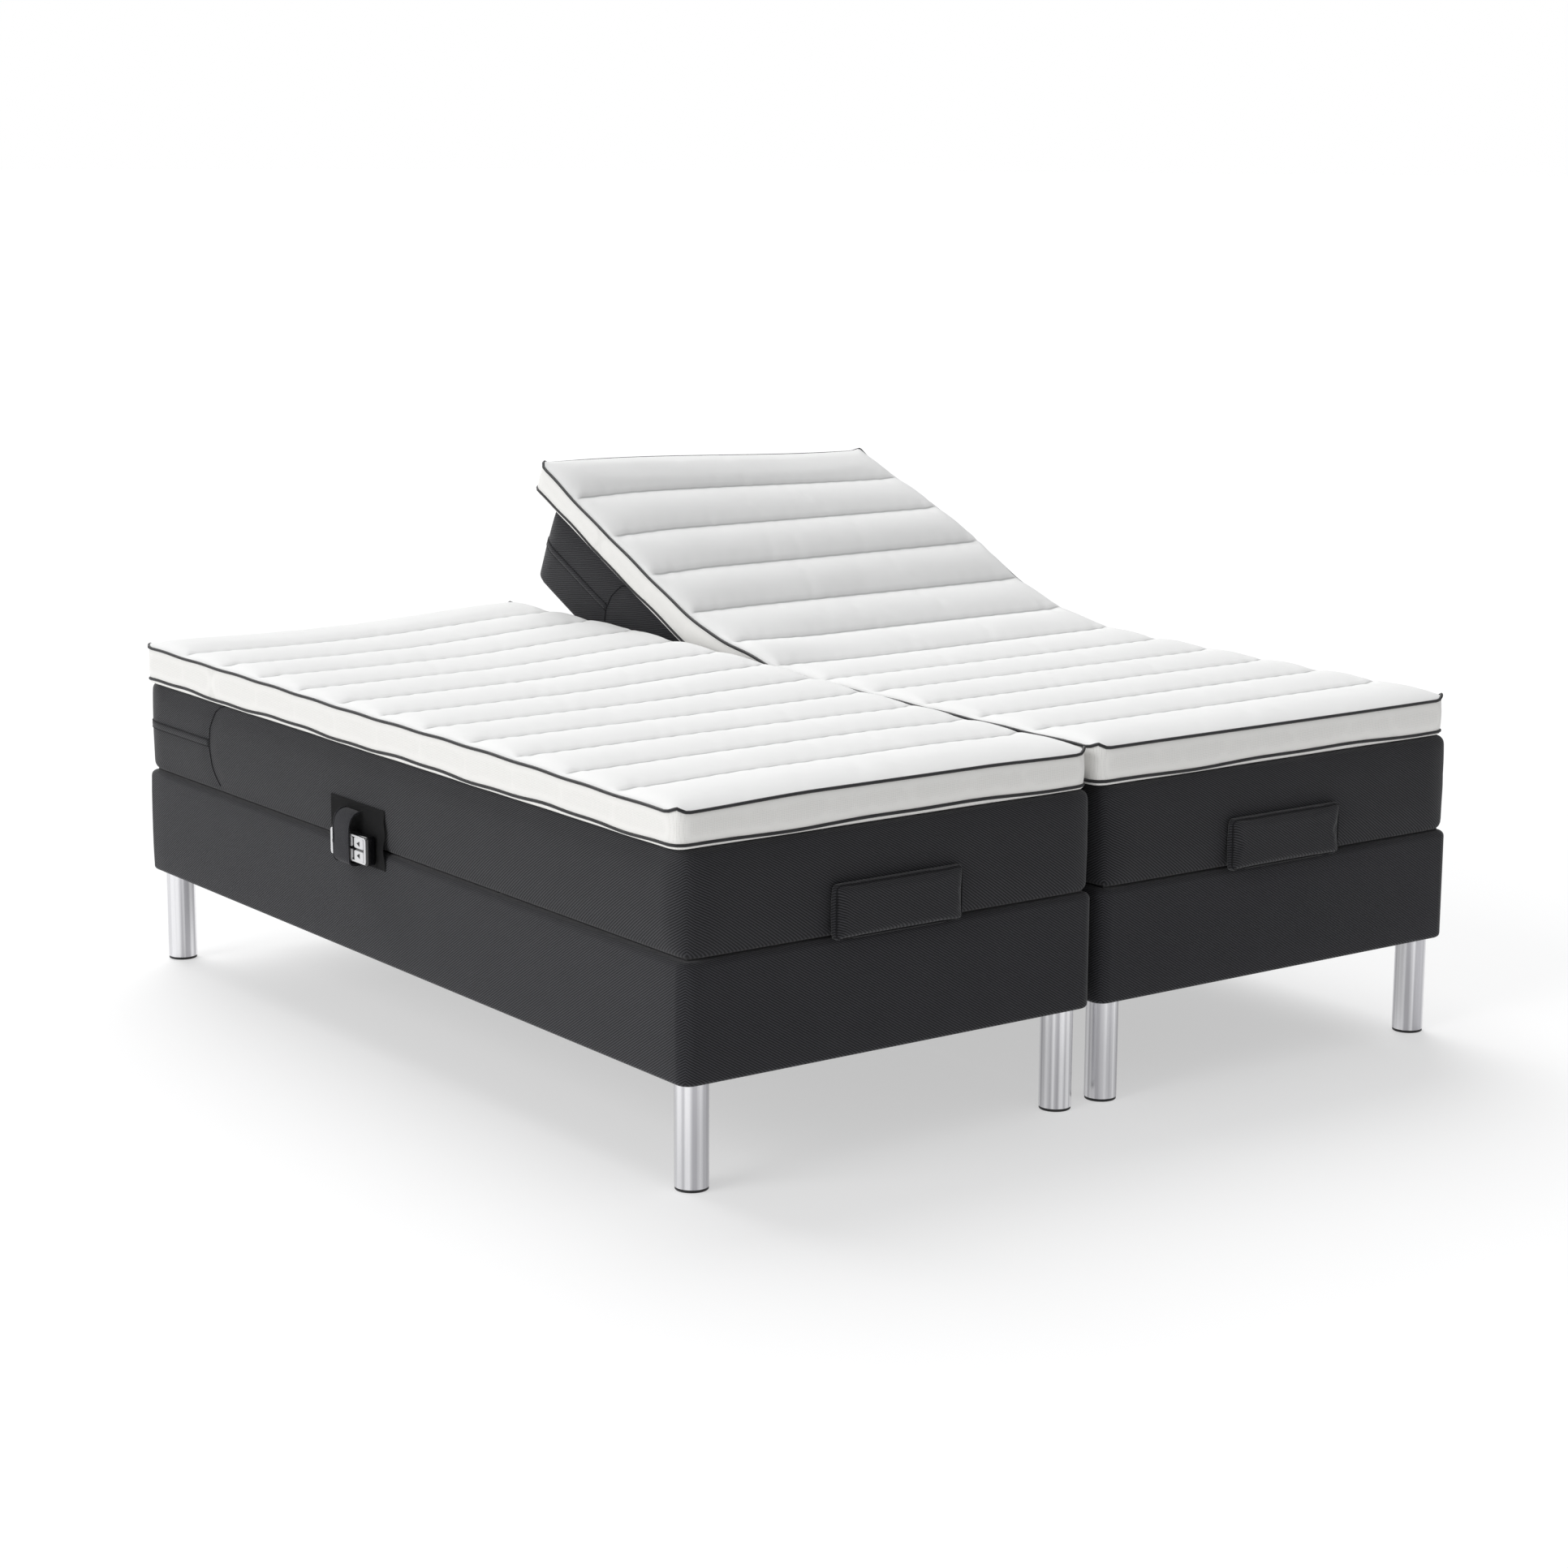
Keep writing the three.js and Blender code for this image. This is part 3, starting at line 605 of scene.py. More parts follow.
def settle(points, side):
    """Where each topper has sunk or been pushed up. The flat one rides up against its neighbour towards
    the head. The raised one has a low corner at the head and a side that sags half way up the slope."""
    x, y = points[:, 0] - middle_x(f"{side}_topper_calf"), points[:, 1] - MIDDLE_Y
    if side == "left":
        crept = 0.012
        lift = 0.015 * smoothstep(-0.45, 0.30, y) * smoothstep(-0.05, 0.42, x)
        lift -= 0.004 * (1 - smoothstep(-0.75, -0.35, y)) * smoothstep(0.20, 0.42, x)
        outer = 1 - smoothstep(-0.45, -0.15, x)
        lift += outer * (0.005 * smoothstep(0.10, 0.98, y) - 0.007 * (1 - smoothstep(-0.98, -0.45, y)))
    else:
        crept = 0.030
        corner = 0.004 + 0.029 * smoothstep(-0.35, 0.45, x)
        hollow = smoothstep(0.22, 0.50, y) * (1 - smoothstep(0.72, 0.98, y))
        hollow *= 1 - smoothstep(-0.45, -0.28, x)
        fold = np.exp(-((y - 0.10) / 0.10) ** 2) * (1 - smoothstep(-0.45, -0.20, x))
        lift = 0.009 * fold - corner * smoothstep(0.50, 1.0, y) - 0.006 * hollow
    points[:, 1] -= crept * smoothstep(0.78, TOPPER_HALF_Y, y)
    points[:, 2] += lift * smoothstep(topper_low, topper_high, points[:, 2])
    return points


def fit_to_units(whole, label, slip=0.0, layer=None, only=("back", "middle", "foot")):
    """Copies a flat layer made round x = 0 to both units, parts it, and lays it on their decks."""
    for side in SIDES:
        middle = middle_x(f"{side}_{'topper' if slip else 'mattress'}_calf")
        for stretch in only:
            low, high = STRETCHES[stretch]
            piece = stretch_between(whole, f"{side}_{label}_{stretch}", low, high)
            flat = points_of(piece) + (middle, 0, 0)
            lay_weave(piece, flat if slip else unrolled(flat, (middle, MIDDLE_Y), MATTRESS_STRAIGHT))
            if slip:
                flat = settle(flat, side)
            move_points(piece, raise_back(flat, slip or MATTRESS_SLIP) if side == "right" else flat)
            if layer:
                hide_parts(*(f"{side}_{layer}_{node}" for node in NODES_OF[stretch]))
            bend_on_hinge(piece, stretch)
    bpy.data.objects.remove(whole)


# ---------------------------------------------------------------- quilted toppers

topper_low, topper_high = (v.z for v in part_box("left_topper_calf"))
RIM_Z = topper_high - 0.0056        # the piping at the top edge
HEM_Z = topper_low + 0.0094         # the piping at the bottom edge
TOPPER_HALF_X = (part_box("left_topper_calf")[1].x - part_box("left_topper_calf")[0].x) / 2
TOPPER_HALF_Y = 0.988
TOPPER_CORNER = 0.026


CHANNEL_ENDS = np.array([-TOPPER_HALF_Y] + [s - MIDDLE_Y for s in STITCHES] + [TOPPER_HALF_Y])


def channel_place(y):
    """Where a row lies in its quilted channel, 0 on one stitch line and 1 on the next."""
    which = np.clip(np.searchsorted(CHANNEL_ENDS, y, side="right") - 1, 0, len(CHANNEL_ENDS) - 2)
    return (y - CHANNEL_ENDS[which]) / (CHANNEL_ENDS[which + 1] - CHANNEL_ENDS[which])


def rim_height(x, y):
    t = channel_place(y)
    return RIM_Z - 0.0007 * np.cos(2 * math.pi * t) + 0.0006 * np.sin(9 * y + 5 * x)


def quilt_height(x, y):
    """Crowned channels that flatten out where the sheet is sewn into the piping. The crown rises in a
    long slope from the outer side and the foot, and steeply from the inner side and the head."""
    along_x = np.minimum((TOPPER_HALF_X + x) / 0.042, (TOPPER_HALF_X - x) / 0.017)
    along_y = np.minimum((TOPPER_HALF_Y + y) / 0.042, (TOPPER_HALF_Y - y) / 0.017)
    edge = np.clip(np.minimum(along_x, along_y), 0, 1)
    edge = np.sqrt(1 - (1 - edge) ** 2)
    t = channel_place(y)
    away = CHANNEL * np.minimum(t, 1 - t)
    puff = 0.66 * (1 - np.abs(2 * t - 1) ** 2.2) + 0.34 * (1 - np.exp(-(away / 0.005) ** 1.5))
    sewn = smoothstep(0.004, 0.022, TOPPER_HALF_X + x) * smoothstep(0.006, 0.024, TOPPER_HALF_X - x)
    return rim_height(x, y) + edge * (0.0140 - 0.0085 * sewn * (1 - puff))


def hem_wave(x, y):
    return 0.0020 * np.sin(13 * y + 9 * x + 1) + 0.0009 * np.sin(37 * y + 23 * x + 2)


topper_ys = rows_between(CHANNEL_ENDS, 0.0035, 0.0155)
topper_xs = rows_between([-TOPPER_HALF_X, TOPPER_HALF_X], 0.005, 0.0125)
topper_rings = [
    (0.0010, lambda x, y: rim_height(x, y) - 0.005),
    (0.0020, lambda x, y: rim_height(x, y) - 0.018),
    (0.0025, lambda x, y: (rim_height(x, y) + HEM_Z + hem_wave(x, y)) / 2),
    (0.0020, lambda x, y: HEM_Z + 0.018 + hem_wave(x, y)),
    (0.0010, lambda x, y: HEM_Z + 0.005 + hem_wave(x, y)),
    (-0.0002, lambda x, y: HEM_Z + hem_wave(x, y)),
    (0.0012, lambda x, y: HEM_Z - 0.004 + 0.6 * hem_wave(x, y)),
    (-0.0010, lambda x, y: HEM_Z - 0.0075 + 0.3 * hem_wave(x, y)),
    (-0.0060, lambda x, y: topper_low + 0.0006 + 0 * x),
]
topper, topper_loops, topper_out = slab(
    "topper", topper_xs, topper_ys, TOPPER_CORNER, topper_rings, quilt_height, (-0.012, topper_low + 0.0003),
    [knit, border, knit])
flat_points = points_of(topper)
top_count = len(topper_xs) * len(topper_ys)
held = np.ones(len(flat_points))
held[:top_count] = 0.0
stitch_rows = np.array(STITCHES)
top_x, top_y = flat_points[:top_count, 0], flat_points[:top_count, 1]
on_stitch = np.min(np.abs(top_y[:, None] + MIDDLE_Y - stitch_rows), axis=1) < 1e-5
sewn_x = (top_x > 0.009 - TOPPER_HALF_X) & (top_x < TOPPER_HALF_X - 0.012)
held[:top_count][on_stitch & sewn_x] = 1.0
held[topper_loops[0]] = 1.0
for loop in topper_loops[1:6]:
    held[loop] = 0.0
stuff(topper, held, 2.5, 0.0035, slack=0.0015)
stuffed = points_of(topper)

# Gathers: the knit is drawn up into small folds on both sides of each stitch line.
x, y = stuffed[:top_count, 0], stuffed[:top_count, 1] + MIDDLE_Y
nearest = np.argmin(np.abs(y[:, None] - stitch_rows), axis=1)
away = np.abs(y - stitch_rows[nearest])
folds = np.sin(x * 150 + nearest * 2.1) + 0.7 * np.sin(x * 233 + nearest * 3.7 + 1.0)
amount = 0.0009 * np.exp(-((away - 0.016) / 0.016) ** 2)
near_side = 1 + 2.4 * np.exp(-(TOPPER_HALF_X - np.abs(x)) / 0.05)
stuffed[:top_count, 2] += amount * folds * near_side * (TOPPER_HALF_X - np.abs(x) > 0.004)
# The border has one upright pucker where its ends are joined.
border_points = np.concatenate(topper_loops[1:6])
side_fold = np.exp(-((stuffed[border_points, 1] - 0.672) / 0.008) ** 2) * (stuffed[border_points, 0] < 0)
stuffed[border_points, 0] += 0.0045 * side_fold
stuffed[:, 1] += MIDDLE_Y
move_points(topper, stuffed)
# Painted shade and thread grey along each stitch line: full on the line, faint within 5 mm of it.
crease = np.zeros(len(stuffed))
crease[:top_count] = (away < 5e-3) * sewn_x * np.where(away < 1e-3, 1.0, 0.2)
crease[topper_loops[0]] = 0.0
topper.data.attributes.new("crease", "FLOAT", "POINT").data.foreach_set("value", crease.astype(np.float32))
apply_modifier(topper, "SUBSURF", levels=1, render_levels=1)

upper_path, lower_path = stuffed[topper_loops[0]], stuffed[topper_loops[6]]
upper_path[:, :2] += topper_out * 0.0008
# The upper piping is drawn down at the head.
upper_path[:, 2] -= 0.0030 * smoothstep(0.955, 0.985, upper_path[:, 1] - MIDDLE_Y)
lower_path[:, :2] += topper_out * 0.0006
outward = np.column_stack([topper_out, np.zeros(len(topper_out))])
cords = [strip(n, p, outward, round_profile(0.0031), piping, closed=True)
         for n, p in (("upper_piping", upper_path), ("lower_piping", lower_path))]
fit_to_units(joined(cords), "topper_piping", slip=TOPPER_SLIP)
fit_to_units(topper, "quilted_topper", slip=TOPPER_SLIP, layer="topper")

# ---------------------------------------------------------------- mattresses

mattress_low, mattress_high = (v.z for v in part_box("left_mattress_calf"))
EDGE = 0.017
MATTRESS_HALF_X, MATTRESS_HALF_Y = 0.446, 0.998


def level(z):
    return lambda x, y: np.full(len(x), z)


mattress_rings = [(EDGE * math.sin(a), level(mattress_high - 0.0006 - EDGE * (1 - math.cos(a))))
                  for a in np.radians((22, 45, 68, 90))]
for share in (0.14, 0.28, 0.42, 0.56, 0.70, 0.84):
    swell = 0.002 * math.sin(math.pi * share)
    mattress_rings.append((EDGE + swell, level(mattress_high - EDGE - share * (0.178 - 2 * EDGE))))
# The lower edge is rolled and hangs over the edge of the deck.
mattress_rings += [(EDGE * math.cos(a), level(mattress_low - 0.0095 + EDGE * (1 - math.sin(a))))
                   for a in np.radians((0, 22, 45, 64))]
mattress_rings += [(0.0052, level(mattress_low - 0.0085)), (0.0048, level(mattress_low - 0.001))]
mattress, mattress_loops, _ = slab(
    "mattress", rows_between([EDGE - MATTRESS_HALF_X, MATTRESS_HALF_X - EDGE], 0.006, 0.024),
    rows_between([EDGE - MATTRESS_HALF_Y, MATTRESS_HALF_Y - EDGE], 0.006, 0.024), 0.014,
    mattress_rings, level(mattress_high - 0.0006), (-0.004, mattress_low + 0.0006),
    [mattress_twill])
mattress.data.polygons.foreach_set("material_index", np.zeros(len(mattress.data.polygons), np.int32))
held = np.ones(len(mattress.data.vertices))
for loop in mattress_loops[3:13]:
    held[loop] = 0.0
stuff(mattress, held, 4.0, 0.003)
swollen = points_of(mattress)
# The side seam near the head draws the cover in a little.
seam_y = np.interp(swollen[:, 2], (0.420, 0.461, 0.500, 0.576, 0.594), (0.674, 0.700, 0.710, 0.686, 0.640))
on_side = np.abs(swollen[:, 0]) > 0.435
drawn_in = 0.0025 * np.exp(-((swollen[:, 1] - seam_y) / 0.014) ** 2)
swollen[:, 0] -= np.sign(swollen[:, 0]) * on_side * drawn_in
swollen[:, 1] += MIDDLE_Y
move_points(mattress, swollen)
apply_modifier(mattress, "SUBSURF", levels=1, render_levels=1)
skin = BVHTree.FromObject(mattress, bpy.context.evaluated_depsgraph_get())


def on_skin(point, out):
    """The place on the mattress cover under a point outside it."""
    out = Vector(out)
    hit = skin.ray_cast(Vector(point) + out * 0.2, -out)[0]
    return np.array(hit if hit is not None else point)


seam_parts = []
heights = np.linspace(0.4235, 0.592, 30)
seam_ys = MIDDLE_Y + np.interp(heights, (0.420, 0.440, 0.461, 0.500, 0.540, 0.576, 0.588, 0.594),
                               (0.674, 0.690, 0.700, 0.710, 0.704, 0.686, 0.668, 0.640))
for sign in (-1, 1):
    line = [on_skin((sign * 0.45, y, z), (sign, 0, 0)) for y, z in zip(seam_ys, heights)]
    side_out = np.tile((sign, 0.0, 0.0), (len(line), 1))
    seam_parts.append(strip("side_seam", line, side_out, round_profile(0.0016, 6), stitch_thread))
# The zip band runs from one side seam round the head end to the other. Each place has its direction out.
head_y = MATTRESS_HALF_Y + MIDDLE_Y
around = [((-0.45, y), (-1.0, 0.0)) for y in np.linspace(0.708 + MIDDLE_Y, head_y - 0.036, 22)]
for a in np.radians(np.linspace(0, 90, 7)):
    corner = (-0.417 - 0.030 * math.cos(a), head_y - 0.030 + 0.030 * math.sin(a))
    around.append((corner, (-math.cos(a), math.sin(a))))
mirrored = [((-x, y), (-ox, oy)) for (x, y), (ox, oy) in reversed(around)]
around += [((x, head_y), (0.0, 1.0)) for x in np.linspace(-0.40, 0.40, 50)] + mirrored
outs = np.array([(ox, oy, 0.0) for _, (ox, oy) in around])
flap = [(-0.0078, -0.002), (-0.0074, 0.0012), (0, 0.0019), (0.0074, 0.0012), (0.0078, -0.002)]
thread = round_profile(0.0011, 6)
for z, profile, lifted, cloth in ((0.5073, flap, 0.0, mattress_twill),
                                  (0.5003, thread, 0.0009, stitch_thread),
                                  (0.5143, thread, 0.0009, stitch_thread)):
    line = [on_skin((x, y, z), out) for ((x, y), _), out in zip(around, outs)]
    seam_parts.append(strip("zip_band", np.array(line) + outs * lifted, outs, profile, cloth))
fit_to_units(joined(seam_parts), "mattress_seams", only=("back",))
fit_to_units(mattress, "sprung_mattress", layer="mattress")

# ---------------------------------------------------------------- upholstered boxes


def edit_mode(obj):
    select_only(obj)
    bpy.ops.object.mode_set(mode="EDIT")


def object_mode():
    bpy.ops.object.mode_set(mode="OBJECT")


def pick(obj, kind, test):
    """Selects the faces or the edges of a piece in edit mode that pass a test, and nothing else."""
    bpy.ops.mesh.select_all(action="DESELECT")
    bpy.ops.mesh.select_mode(type={"faces": "FACE", "edges": "EDGE"}[kind])
    for element in getattr(bmesh.from_edit_mesh(obj.data), kind):
        if test(element):
            element.select_set(True)
    bmesh.update_edit_mesh(obj.data)


def upright(edge):
    a, b = (v.co for v in edge.verts)
    return abs(a.x - b.x) < 1e-5 and abs(a.y - b.y) < 1e-5


def along_x(edge):
    return abs(edge.verts[0].co.x - edge.verts[1].co.x) > 1e-4


def at_height(z):
    """The test for an edge that lies level at one height."""
    return lambda edge: all(abs(v.co.z - z) < 1e-5 for v in edge.verts)


def new_piece(name, material):
    """The primitive just added, named, with its place in its mesh."""
    made = bpy.context.object
    made.name = made.data.name = name
    bpy.ops.object.transform_apply(location=True, rotation=True, scale=True)
    made.data.materials.append(material)
    return made


def cuboid(name, low, high, material):
    """A block added at its size and place."""
    low, high = Vector(low), Vector(high)
    bpy.ops.object.select_all(action="DESELECT")
    bpy.ops.mesh.primitive_cube_add(size=1, location=(low + high) / 2)
    bpy.context.object.dimensions = high - low
    return new_piece(name, material)


def round_bar(name, middle, radius, low_z, high_z, material):
    """An upright round bar between two heights."""
    bpy.ops.object.select_all(action="DESELECT")
    bpy.ops.mesh.primitive_cylinder_add(vertices=64, radius=radius, depth=high_z - low_z,
                                        location=(middle.x, middle.y, (high_z + low_z) / 2))
    return new_piece(name, material)


def smooth(obj, degrees):
    select_only(obj)
    bpy.ops.object.shade_smooth_by_angle(angle=math.radians(degrees))


BOX_CORNER = 0.026


def upholstered_box(side):
    """The box: boards wrapped in thin foam and twill, open on top, closed with dust cloth below."""
    low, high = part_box(f"{side}_box_cover")
    box = cuboid(f"{side}_box_upholstery", low, high, box_twill)
    box.data.materials.append(dust_cloth)
    edit_mode(box)
    pick(box, "edges", upright)
    bpy.ops.mesh.bevel(offset=BOX_CORNER, segments=6, affect="EDGES")
    pick(box, "edges", at_height(high.z))
    bpy.ops.mesh.bevel(offset=0.011, segments=5, affect="EDGES")
    pick(box, "edges", at_height(low.z))
    bpy.ops.mesh.bevel(offset=0.008, segments=4, affect="EDGES")
    pick(box, "faces", lambda f: f.normal.z > 0.99 and f.calc_center_median().z > high.z - 1e-4)
    bpy.ops.mesh.inset(thickness=0.0032)
    bpy.ops.mesh.extrude_region_move(TRANSFORM_OT_translate={"value": (0, 0, low.z + 0.003 - high.z)})
    pick(box, "faces", lambda f: f.normal.z < -0.99)
    box.active_material_index = 1
    bpy.ops.object.material_slot_assign()
    object_mode()
    # The cloth is stretched over foam, so long faces get points to carry a slight unevenness.
    cuts = (np.arange(low.x + 0.06, high.x - 0.05, 0.06), np.arange(low.y + 0.06, high.y - 0.05, 0.06),
            (low.z + 0.05, low.z + 0.09, low.z + 0.13, low.z + 0.17))
    for normal, places in zip(np.eye(3), cuts):
        mesh = bmesh.new()
        mesh.from_mesh(box.data)
        for place in places:
            bmesh.ops.bisect_plane(mesh, geom=mesh.verts[:] + mesh.edges[:] + mesh.faces[:],
                                   plane_co=normal * place, plane_no=normal)
        mesh.to_mesh(box.data)
        mesh.free()
    points = points_of(box)
    middle = np.array((low + high) / 2)
    lay_weave(box, unrolled(points, middle[:2], np.array((high - low) / 2)[:2] - BOX_CORNER))
    height = (points[:, 2] - low.z) / (high.z - low.z)
    full = np.clip(1 - np.abs(2 * height - 1) ** 3, 0, 1)
    ripple = 0.0016 * full * (1 + 0.5 * np.sin(7 * points[:, 1] + 5 * points[:, 0]))
    for axis, half in ((0, (high.x - low.x) / 2), (1, (high.y - low.y) / 2)):
        outer = np.abs(points[:, axis] - middle[axis]) > half - 0.001
        points[:, axis] += np.sign(points[:, axis] - middle[axis]) * outer * ripple
    move_points(box, points)
    smooth(box, 40)
    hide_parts(f"{side}_box_cover")
    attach(box, "bed")
    # The cloth is turned in over the boards and stapled down on top of them.
    inset, cloth_thickness = 0.0125, 0.00022
    lip_low = (low.x + inset, low.y + inset, high.z)
    lip_high = (high.x - inset, high.y - inset, high.z + cloth_thickness)
    lip = cuboid(f"{side}_box_turned_cloth", lip_low, lip_high, box_twill)
    edit_mode(lip)
    pick(lip, "edges", upright)
    bpy.ops.mesh.bevel(offset=0.014, segments=5, affect="EDGES")
    pick(lip, "faces", lambda f: abs(f.normal.z) > 0.99)
    bpy.ops.mesh.inset(thickness=0.023)
    bpy.ops.mesh.bridge_edge_loops()
    object_mode()
    smooth(lip, 40)
    lay_weave(lip)
    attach(lip, "bed")


for side in SIDES:
    upholstered_box(side)

# ---------------------------------------------------------------- legs


def tube_leg(node):
    """A round tube leg, open at the top, with a nylon glide pressed into its lower end."""
    low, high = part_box(node)
    middle, radius = (low + high) / 2, (high.x - low.x) / 2
    glide_top = low.z + 0.005
    leg = round_bar(node + "_tube", middle, radius, glide_top, high.z, steel)
    edit_mode(leg)
    pick(leg, "faces", lambda f: f.normal.z > 0.9)
    bpy.ops.mesh.inset(thickness=0.002)
    bpy.ops.mesh.extrude_region_move(TRANSFORM_OT_translate={"value": (0, 0, glide_top + 0.004 - high.z)})
    pick(leg, "edges", at_height(glide_top))
    bpy.ops.mesh.bevel(offset=0.0011, segments=3, affect="EDGES")
    object_mode()
    smooth(leg, 30)
    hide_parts(node)
    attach(leg, "bed")
    glide = round_bar(node + "_glide", middle, radius - 0.0008, low.z, glide_top, glide_nylon)
    edit_mode(glide)
    pick(glide, "faces", lambda f: f.normal.z > 0.9)
    bpy.ops.mesh.inset(thickness=0.0018)
    pick(glide, "edges", at_height(low.z))
    bpy.ops.mesh.bevel(offset=0.0012, segments=3, affect="EDGES")
    object_mode()
    smooth(glide, 30)
    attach(glide, "bed")


for side in SIDES:
    for end in ("foot", "head"):
        for where in ("west", "east"):
            tube_leg(f"{side}_leg_{end}_{where}")

# ---------------------------------------------------------------- retainer pads at the foot


def retainer(side):
    """A padded plate that keeps the mattress from sliding off the deck."""
    node = f"{side}_retainer_pad"
    low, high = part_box(node)
    low.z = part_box(f"{side}_calf_deck")[0].z + 0.0225     # it also hides the deck's tongue behind it
    slack = Vector((0.002, 0.002, 0.002))
    pad = cuboid(f"{side}_retainer_cushion", low + slack, high - slack, mattress_twill)
    apply_modifier(pad, "BEVEL", width=0.007, segments=3)
    apply_modifier(pad, "REMESH", mode="VOXEL", voxel_size=0.005, use_smooth_shade=True)
    points = points_of(pad)
    held = np.zeros(len(points))
    held[points[:, 1] > high.y - 0.004] = 1.0
    stuff(pad, held, 4.0, 0.0028)
    apply_modifier(pad, "SUBSURF", levels=1, render_levels=1)
    points = points_of(pad)
    # The front is drawn in a little along the seam that runs round it.
    edge = np.minimum(np.minimum(points[:, 0] - low.x, high.x - points[:, 0]),
                      np.minimum(points[:, 2] - low.z, high.z - points[:, 2]))
    front = points[:, 1] < low.y + 0.008
    points[:, 1] += 0.0016 * front * np.exp(-((edge - 0.006) / 0.003) ** 2)
    points = np.clip(points, np.array(low) - 0.003, np.array(high) + (0.003, 0.0, 0.003))
    move_points(pad, points)
    lay_weave(pad)
    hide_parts(node)
    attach(pad, f"{side}_calf")
    # A thin welt stands along the seam.
    inset, turn = 0.014, 0.008
    centres = [(low.x + inset, low.z + inset), (high.x - inset, low.z + inset),
               (high.x - inset, high.z - inset), (low.x + inset, high.z - inset)]
    path = []
    for quarter, (x, z) in enumerate(centres):
        for a in np.radians(np.linspace(180 + 90 * quarter, 270 + 90 * quarter, 5)):
            path.append((x + turn * math.cos(a), z + turn * math.sin(a)))
    skin = BVHTree.FromObject(pad, bpy.context.evaluated_depsgraph_get())
    laid = []
    for x, z in path:
        hit = skin.ray_cast(Vector((x, low.y - 0.05, z)), Vector((0, 1, 0)))[0]
        laid.append((x, (hit.y if hit else low.y) + 0.0002, z))
    welt = strip(f"{side}_retainer_welt", laid, np.tile((0.0, -1.0, 0.0), (len(laid), 1)),
                 round_profile(0.0013, 6), stitch_thread, closed=True)
    lay_weave(welt)
    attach(welt, f"{side}_calf")


for side in SIDES:
    retainer(side)

# ---------------------------------------------------------------- handset and its holder

patch_low, patch_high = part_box("holder_patch")
strap_low, strap_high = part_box("holder_strap")
case_low, case_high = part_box("handset_body")


def holder_backing():
    """A patch of lining sewn to the mattress, with a turned hem, that slackens where nothing holds it."""
    bpy.ops.object.select_all(action="DESELECT")
    bpy.ops.mesh.primitive_grid_add(x_subdivisions=44, y_subdivisions=26, size=1,
                                    location=(patch_high.x - 0.0016, 0, 0), rotation=(0, -math.pi / 2, 0))
    # Its near-black lining colour is also painted shade of the pocket behind the band.
    patch = new_piece("holder_backing", lining_and_pocket_shade)
    points = points_of(patch)
    size = patch_high - patch_low
    z, y = points[:, 2], points[:, 1]
    v, u = (z - z.min()) / (z.max() - z.min()), (y - y.min()) / (y.max() - y.min())
    points[:, 1] = patch_low.y + 0.001 + u * (size.y - 0.002)
    points[:, 2] = patch_low.z + 0.001 + v * (size.z - 0.002)
    hem = np.minimum(np.minimum(u * size.y, (1 - u) * size.y), (1 - v) * size.z)
    loose = np.sin(math.pi * u) * np.sin(math.pi * v) * (u < 0.45) * np.sin(math.pi * u / 0.45)
    free = (1 - smoothstep(0.0, 0.30, u)) * np.sin(math.pi * v) ** 2
    points[:, 0] -= 0.0006 * (hem < 0.007) + 0.0018 * loose + 0.0030 * free * (1 + np.sin(9.0 * v))
    points[:, 1] -= 0.0045 * free * np.sin(10.5 * v + 0.6)
    move_points(patch, points)
    apply_modifier(patch, "SOLIDIFY", thickness=0.0012, offset=0.0)
    apply_modifier(patch, "SUBSURF", levels=1, render_levels=1)
    select_only(patch)
    bpy.ops.object.shade_smooth()
    face_outwards(patch)
    lay_weave(patch)
    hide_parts("holder_patch")
    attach(patch, "bed")


def turn(start, corner, end, count):
    """Points of a smooth curve that bends from start to end round a corner."""
    start, corner, end = np.array(start), np.array(corner), np.array(end)
    return [(1 - t) ** 2 * start + 2 * (1 - t) * t * corner + t * t * end for t in np.linspace(0, 1, count)]


def holder_band():
    """The wide elastic band that the handset is pushed under: sewn down at the top, round the handset
    and back to the patch below it, with its edges turned over."""
    back, front = strap_high.x, strap_low.x + 0.0042
    top, bottom = strap_high.z, strap_low.z
    line = np.array(turn((back, top), (front, top), (front, top - 0.040), 12)
                    + [(front, z) for z in np.linspace(top - 0.046, bottom + 0.021, 8)]
                    + turn((front, bottom + 0.015), (front, bottom), (front + 0.015, bottom), 6)
                    + [(back - 0.004, bottom + 0.0003)])
    across = np.linspace(0, 1, 15)
    width = strap_high.y - strap_low.y - 0.010
    ys = strap_low.y + 0.001 + across * width
    middle = np.array([(front + back) / 2, (top + bottom) / 2])
    inward = middle - line
    inward /= np.linalg.norm(inward, axis=1)[:, None]
    points = []
    for place, drawn in zip(line, inward):
        for w, y in zip(across, ys):
            # The edges curl towards the handset and the middle stands a little proud.
            curl = 0.0016 * abs(2 * w - 1) ** 4 + 0.0016
            x, z = place + drawn * curl
            points.append((x, y, z))
    index = np.arange(len(points)).reshape(len(line), len(ys))
    faces = np.stack([index[:-1, :-1], index[1:, :-1], index[1:, 1:], index[:-1, 1:]], -1).reshape(-1, 4)
    band = mesh_object("holder_band", points, faces, [strap_twill])
    apply_modifier(band, "SOLIDIFY", thickness=0.0022, offset=0.0)
    apply_modifier(band, "SUBSURF", levels=1, render_levels=1)
    face_outwards(band)
    lay_weave(band)
    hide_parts("holder_strap")
    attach(band, "bed")
    # Turned edges: a narrow welt along each side of the band.
    shell = np.array([(x + dx * 0.0006, z + dz * 0.0006) for (x, z), (dx, dz) in zip(line, inward)])
    for name, y in (("foot", strap_low.y + 0.0022), ("head", strap_high.y - 0.0102)):
        path = np.column_stack([shell[:, 0], np.full(len(line), y), shell[:, 1]])
        out = np.column_stack([-inward[:, 0], np.zeros(len(line)), -inward[:, 1]])
        welt = strip(f"holder_band_edge_{name}", path, out, round_profile(0.0015, 8), strap_twill)
        lay_weave(welt)
        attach(welt, "bed")


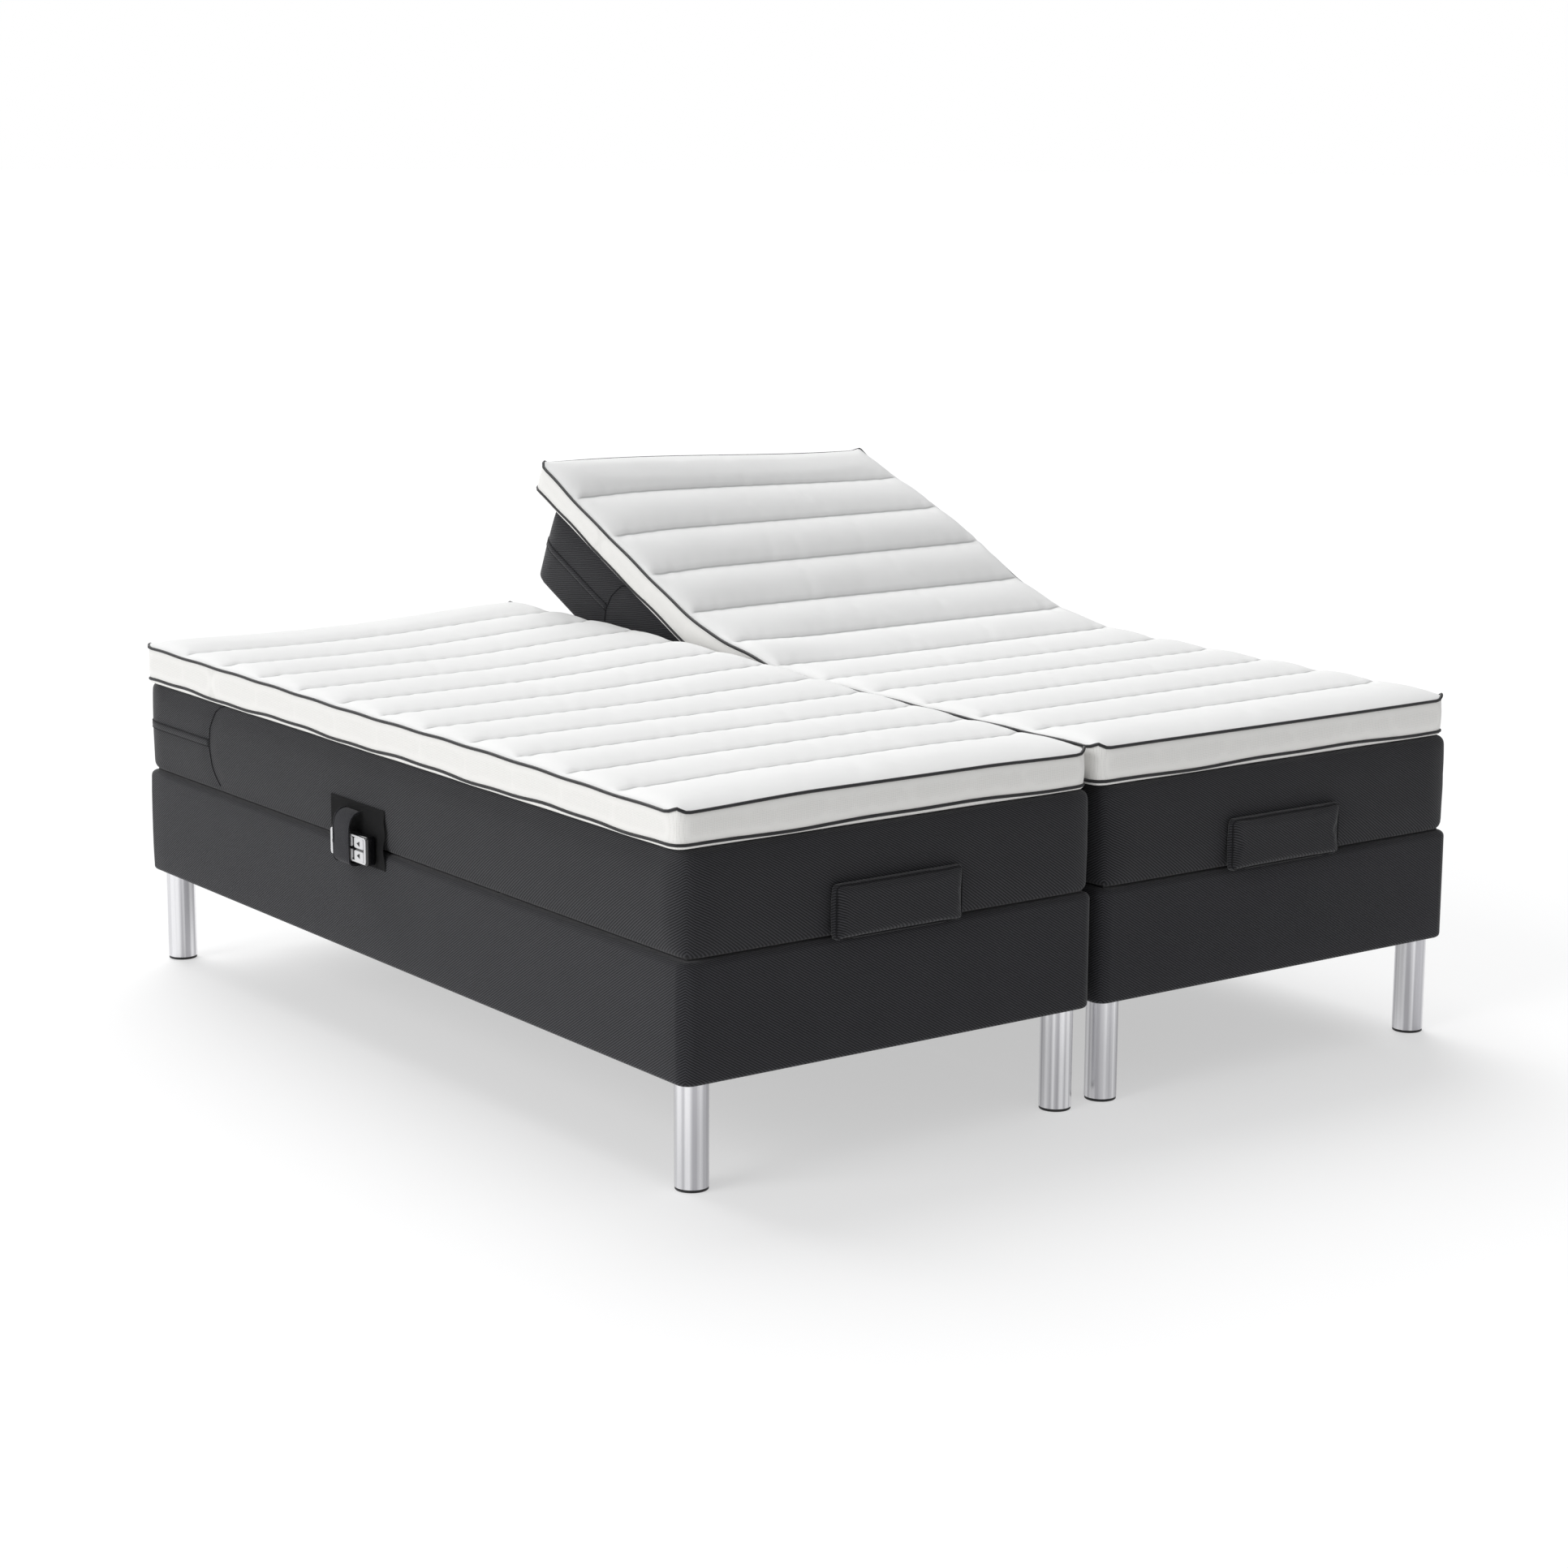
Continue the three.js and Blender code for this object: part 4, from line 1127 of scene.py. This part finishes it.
def handset():
    """The handset: a glossy black case with a silver frame round its face."""
    case = cuboid("handset_case", case_low, case_high, gloss_abs)
    edit_mode(case)
    pick(case, "edges", lambda e: True)
    bpy.ops.mesh.bevel(offset=0.0055, segments=5, affect="EDGES")
    pick(case, "faces", lambda f: f.normal.x < -0.99 and f.calc_area() > 1e-3)
    bpy.ops.mesh.inset(thickness=0.0035)
    bpy.ops.mesh.extrude_region_move(TRANSFORM_OT_translate={"value": (0.0012, 0, 0)})
    object_mode()
    smooth(case, 40)
    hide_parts("handset_body")
    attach(case, "handset")

    frame_low = Vector((case_low.x - 0.0006, case_low.y + 0.0028, case_low.z + 0.0028))
    frame_high = Vector((case_low.x + 0.0030, case_high.y - 0.0028, case_high.z - 0.0028))
    trim = cuboid("handset_frame", frame_low, frame_high, silver_abs)
    edit_mode(trim)
    pick(trim, "edges", along_x)
    bpy.ops.mesh.bevel(offset=0.006, segments=5, affect="EDGES")
    pick(trim, "faces", lambda f: abs(f.normal.x) > 0.99)
    bpy.ops.mesh.inset(thickness=0.0034)
    bpy.ops.transform.resize(value=(1.0, 0.953, 1.0), center_override=(frame_low + frame_high) / 2)
    bpy.ops.mesh.bridge_edge_loops()
    object_mode()
    smooth(trim, 35)
    apply_modifier(trim, "BEVEL", width=0.0004, segments=2, limit_method="ANGLE",
                   angle_limit=math.radians(50))
    smooth(trim, 35)
    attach(trim, "handset")


def button_cap(node, low, high):
    """A silver cap with round corners and a slightly hollow face."""
    cap = cuboid(f"{node}_cap", low, high, silver_abs)
    edit_mode(cap)
    pick(cap, "edges", along_x)
    bpy.ops.mesh.bevel(offset=0.0035, segments=4, affect="EDGES")
    pick(cap, "edges", lambda e: max(v.co.x for v in e.verts) < low.x + 1e-5)
    bpy.ops.mesh.bevel(offset=0.0008, segments=3, affect="EDGES")
    pick(cap, "faces", lambda f: f.normal.x < -0.99 and f.calc_area() > 1e-4)
    bpy.ops.mesh.inset(thickness=0.0022)
    bpy.ops.transform.translate(value=(0.0003, 0, 0))
    object_mode()
    smooth(cap, 35)
    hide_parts(node)
    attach(cap, node)


def button_arrow(node, low, high, way):
    """A plain arrow that points to the head end. It stands just below the middle of a cap in the upper
    row, where way is 1, and just above it in the lower row, where way is -1."""
    place = (low.x + 0.0001, (low.y + high.y) / 2, (low.z + high.z) / 2 - way * 0.0008)
    bpy.ops.object.select_all(action="DESELECT")
    bpy.ops.mesh.primitive_cylinder_add(vertices=3, radius=0.0058, depth=0.0005, location=place,
                                        rotation=(0, math.pi / 2, 0))
    arrow = new_piece(f"{node}_arrow", icon_print)
    points = points_of(arrow)
    points -= points.mean(axis=0)
    points[:, 1] *= 1.25
    move_points(arrow, points + place)
    face_outwards(arrow)
    apply_modifier(arrow, "BEVEL", width=0.00015, segments=1)
    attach(arrow, node)


handset()
for column in ("head", "middle", "foot"):
    for row, way in (("up", 1), ("down", -1)):
        cap_low, cap_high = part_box(f"button_{column}_{row}")
        button_cap(f"button_{column}_{row}", cap_low, cap_high)
        button_arrow(f"button_{column}_{row}", cap_low, cap_high, way)
holder_backing()
holder_band()

# ---------------------------------------------------------------- decks, carcasses and drives
# These keep their own shapes.

FINISHES = {
    pine: ("box_carcass",), black_plywood: ("seat_deck", "back_deck", "thigh_deck", "calf_deck"),
    drive_shell: ("control_box", "back_drive", "leg_drive"), chromed_rod: ("back_rod", "leg_rod"),
}
finished = {f"{side}_{part}": finish
            for finish, parts in FINISHES.items() for part in parts for side in SIDES}
finished.update(unit_tie_foot=tie_coat, unit_tie_head=tie_coat)
for name, finish in finished.items():
    frame["nodes"][name].data.materials.clear()
    frame["nodes"][name].data.materials.append(finish)

bpy.ops.object.select_all(action="DESELECT")
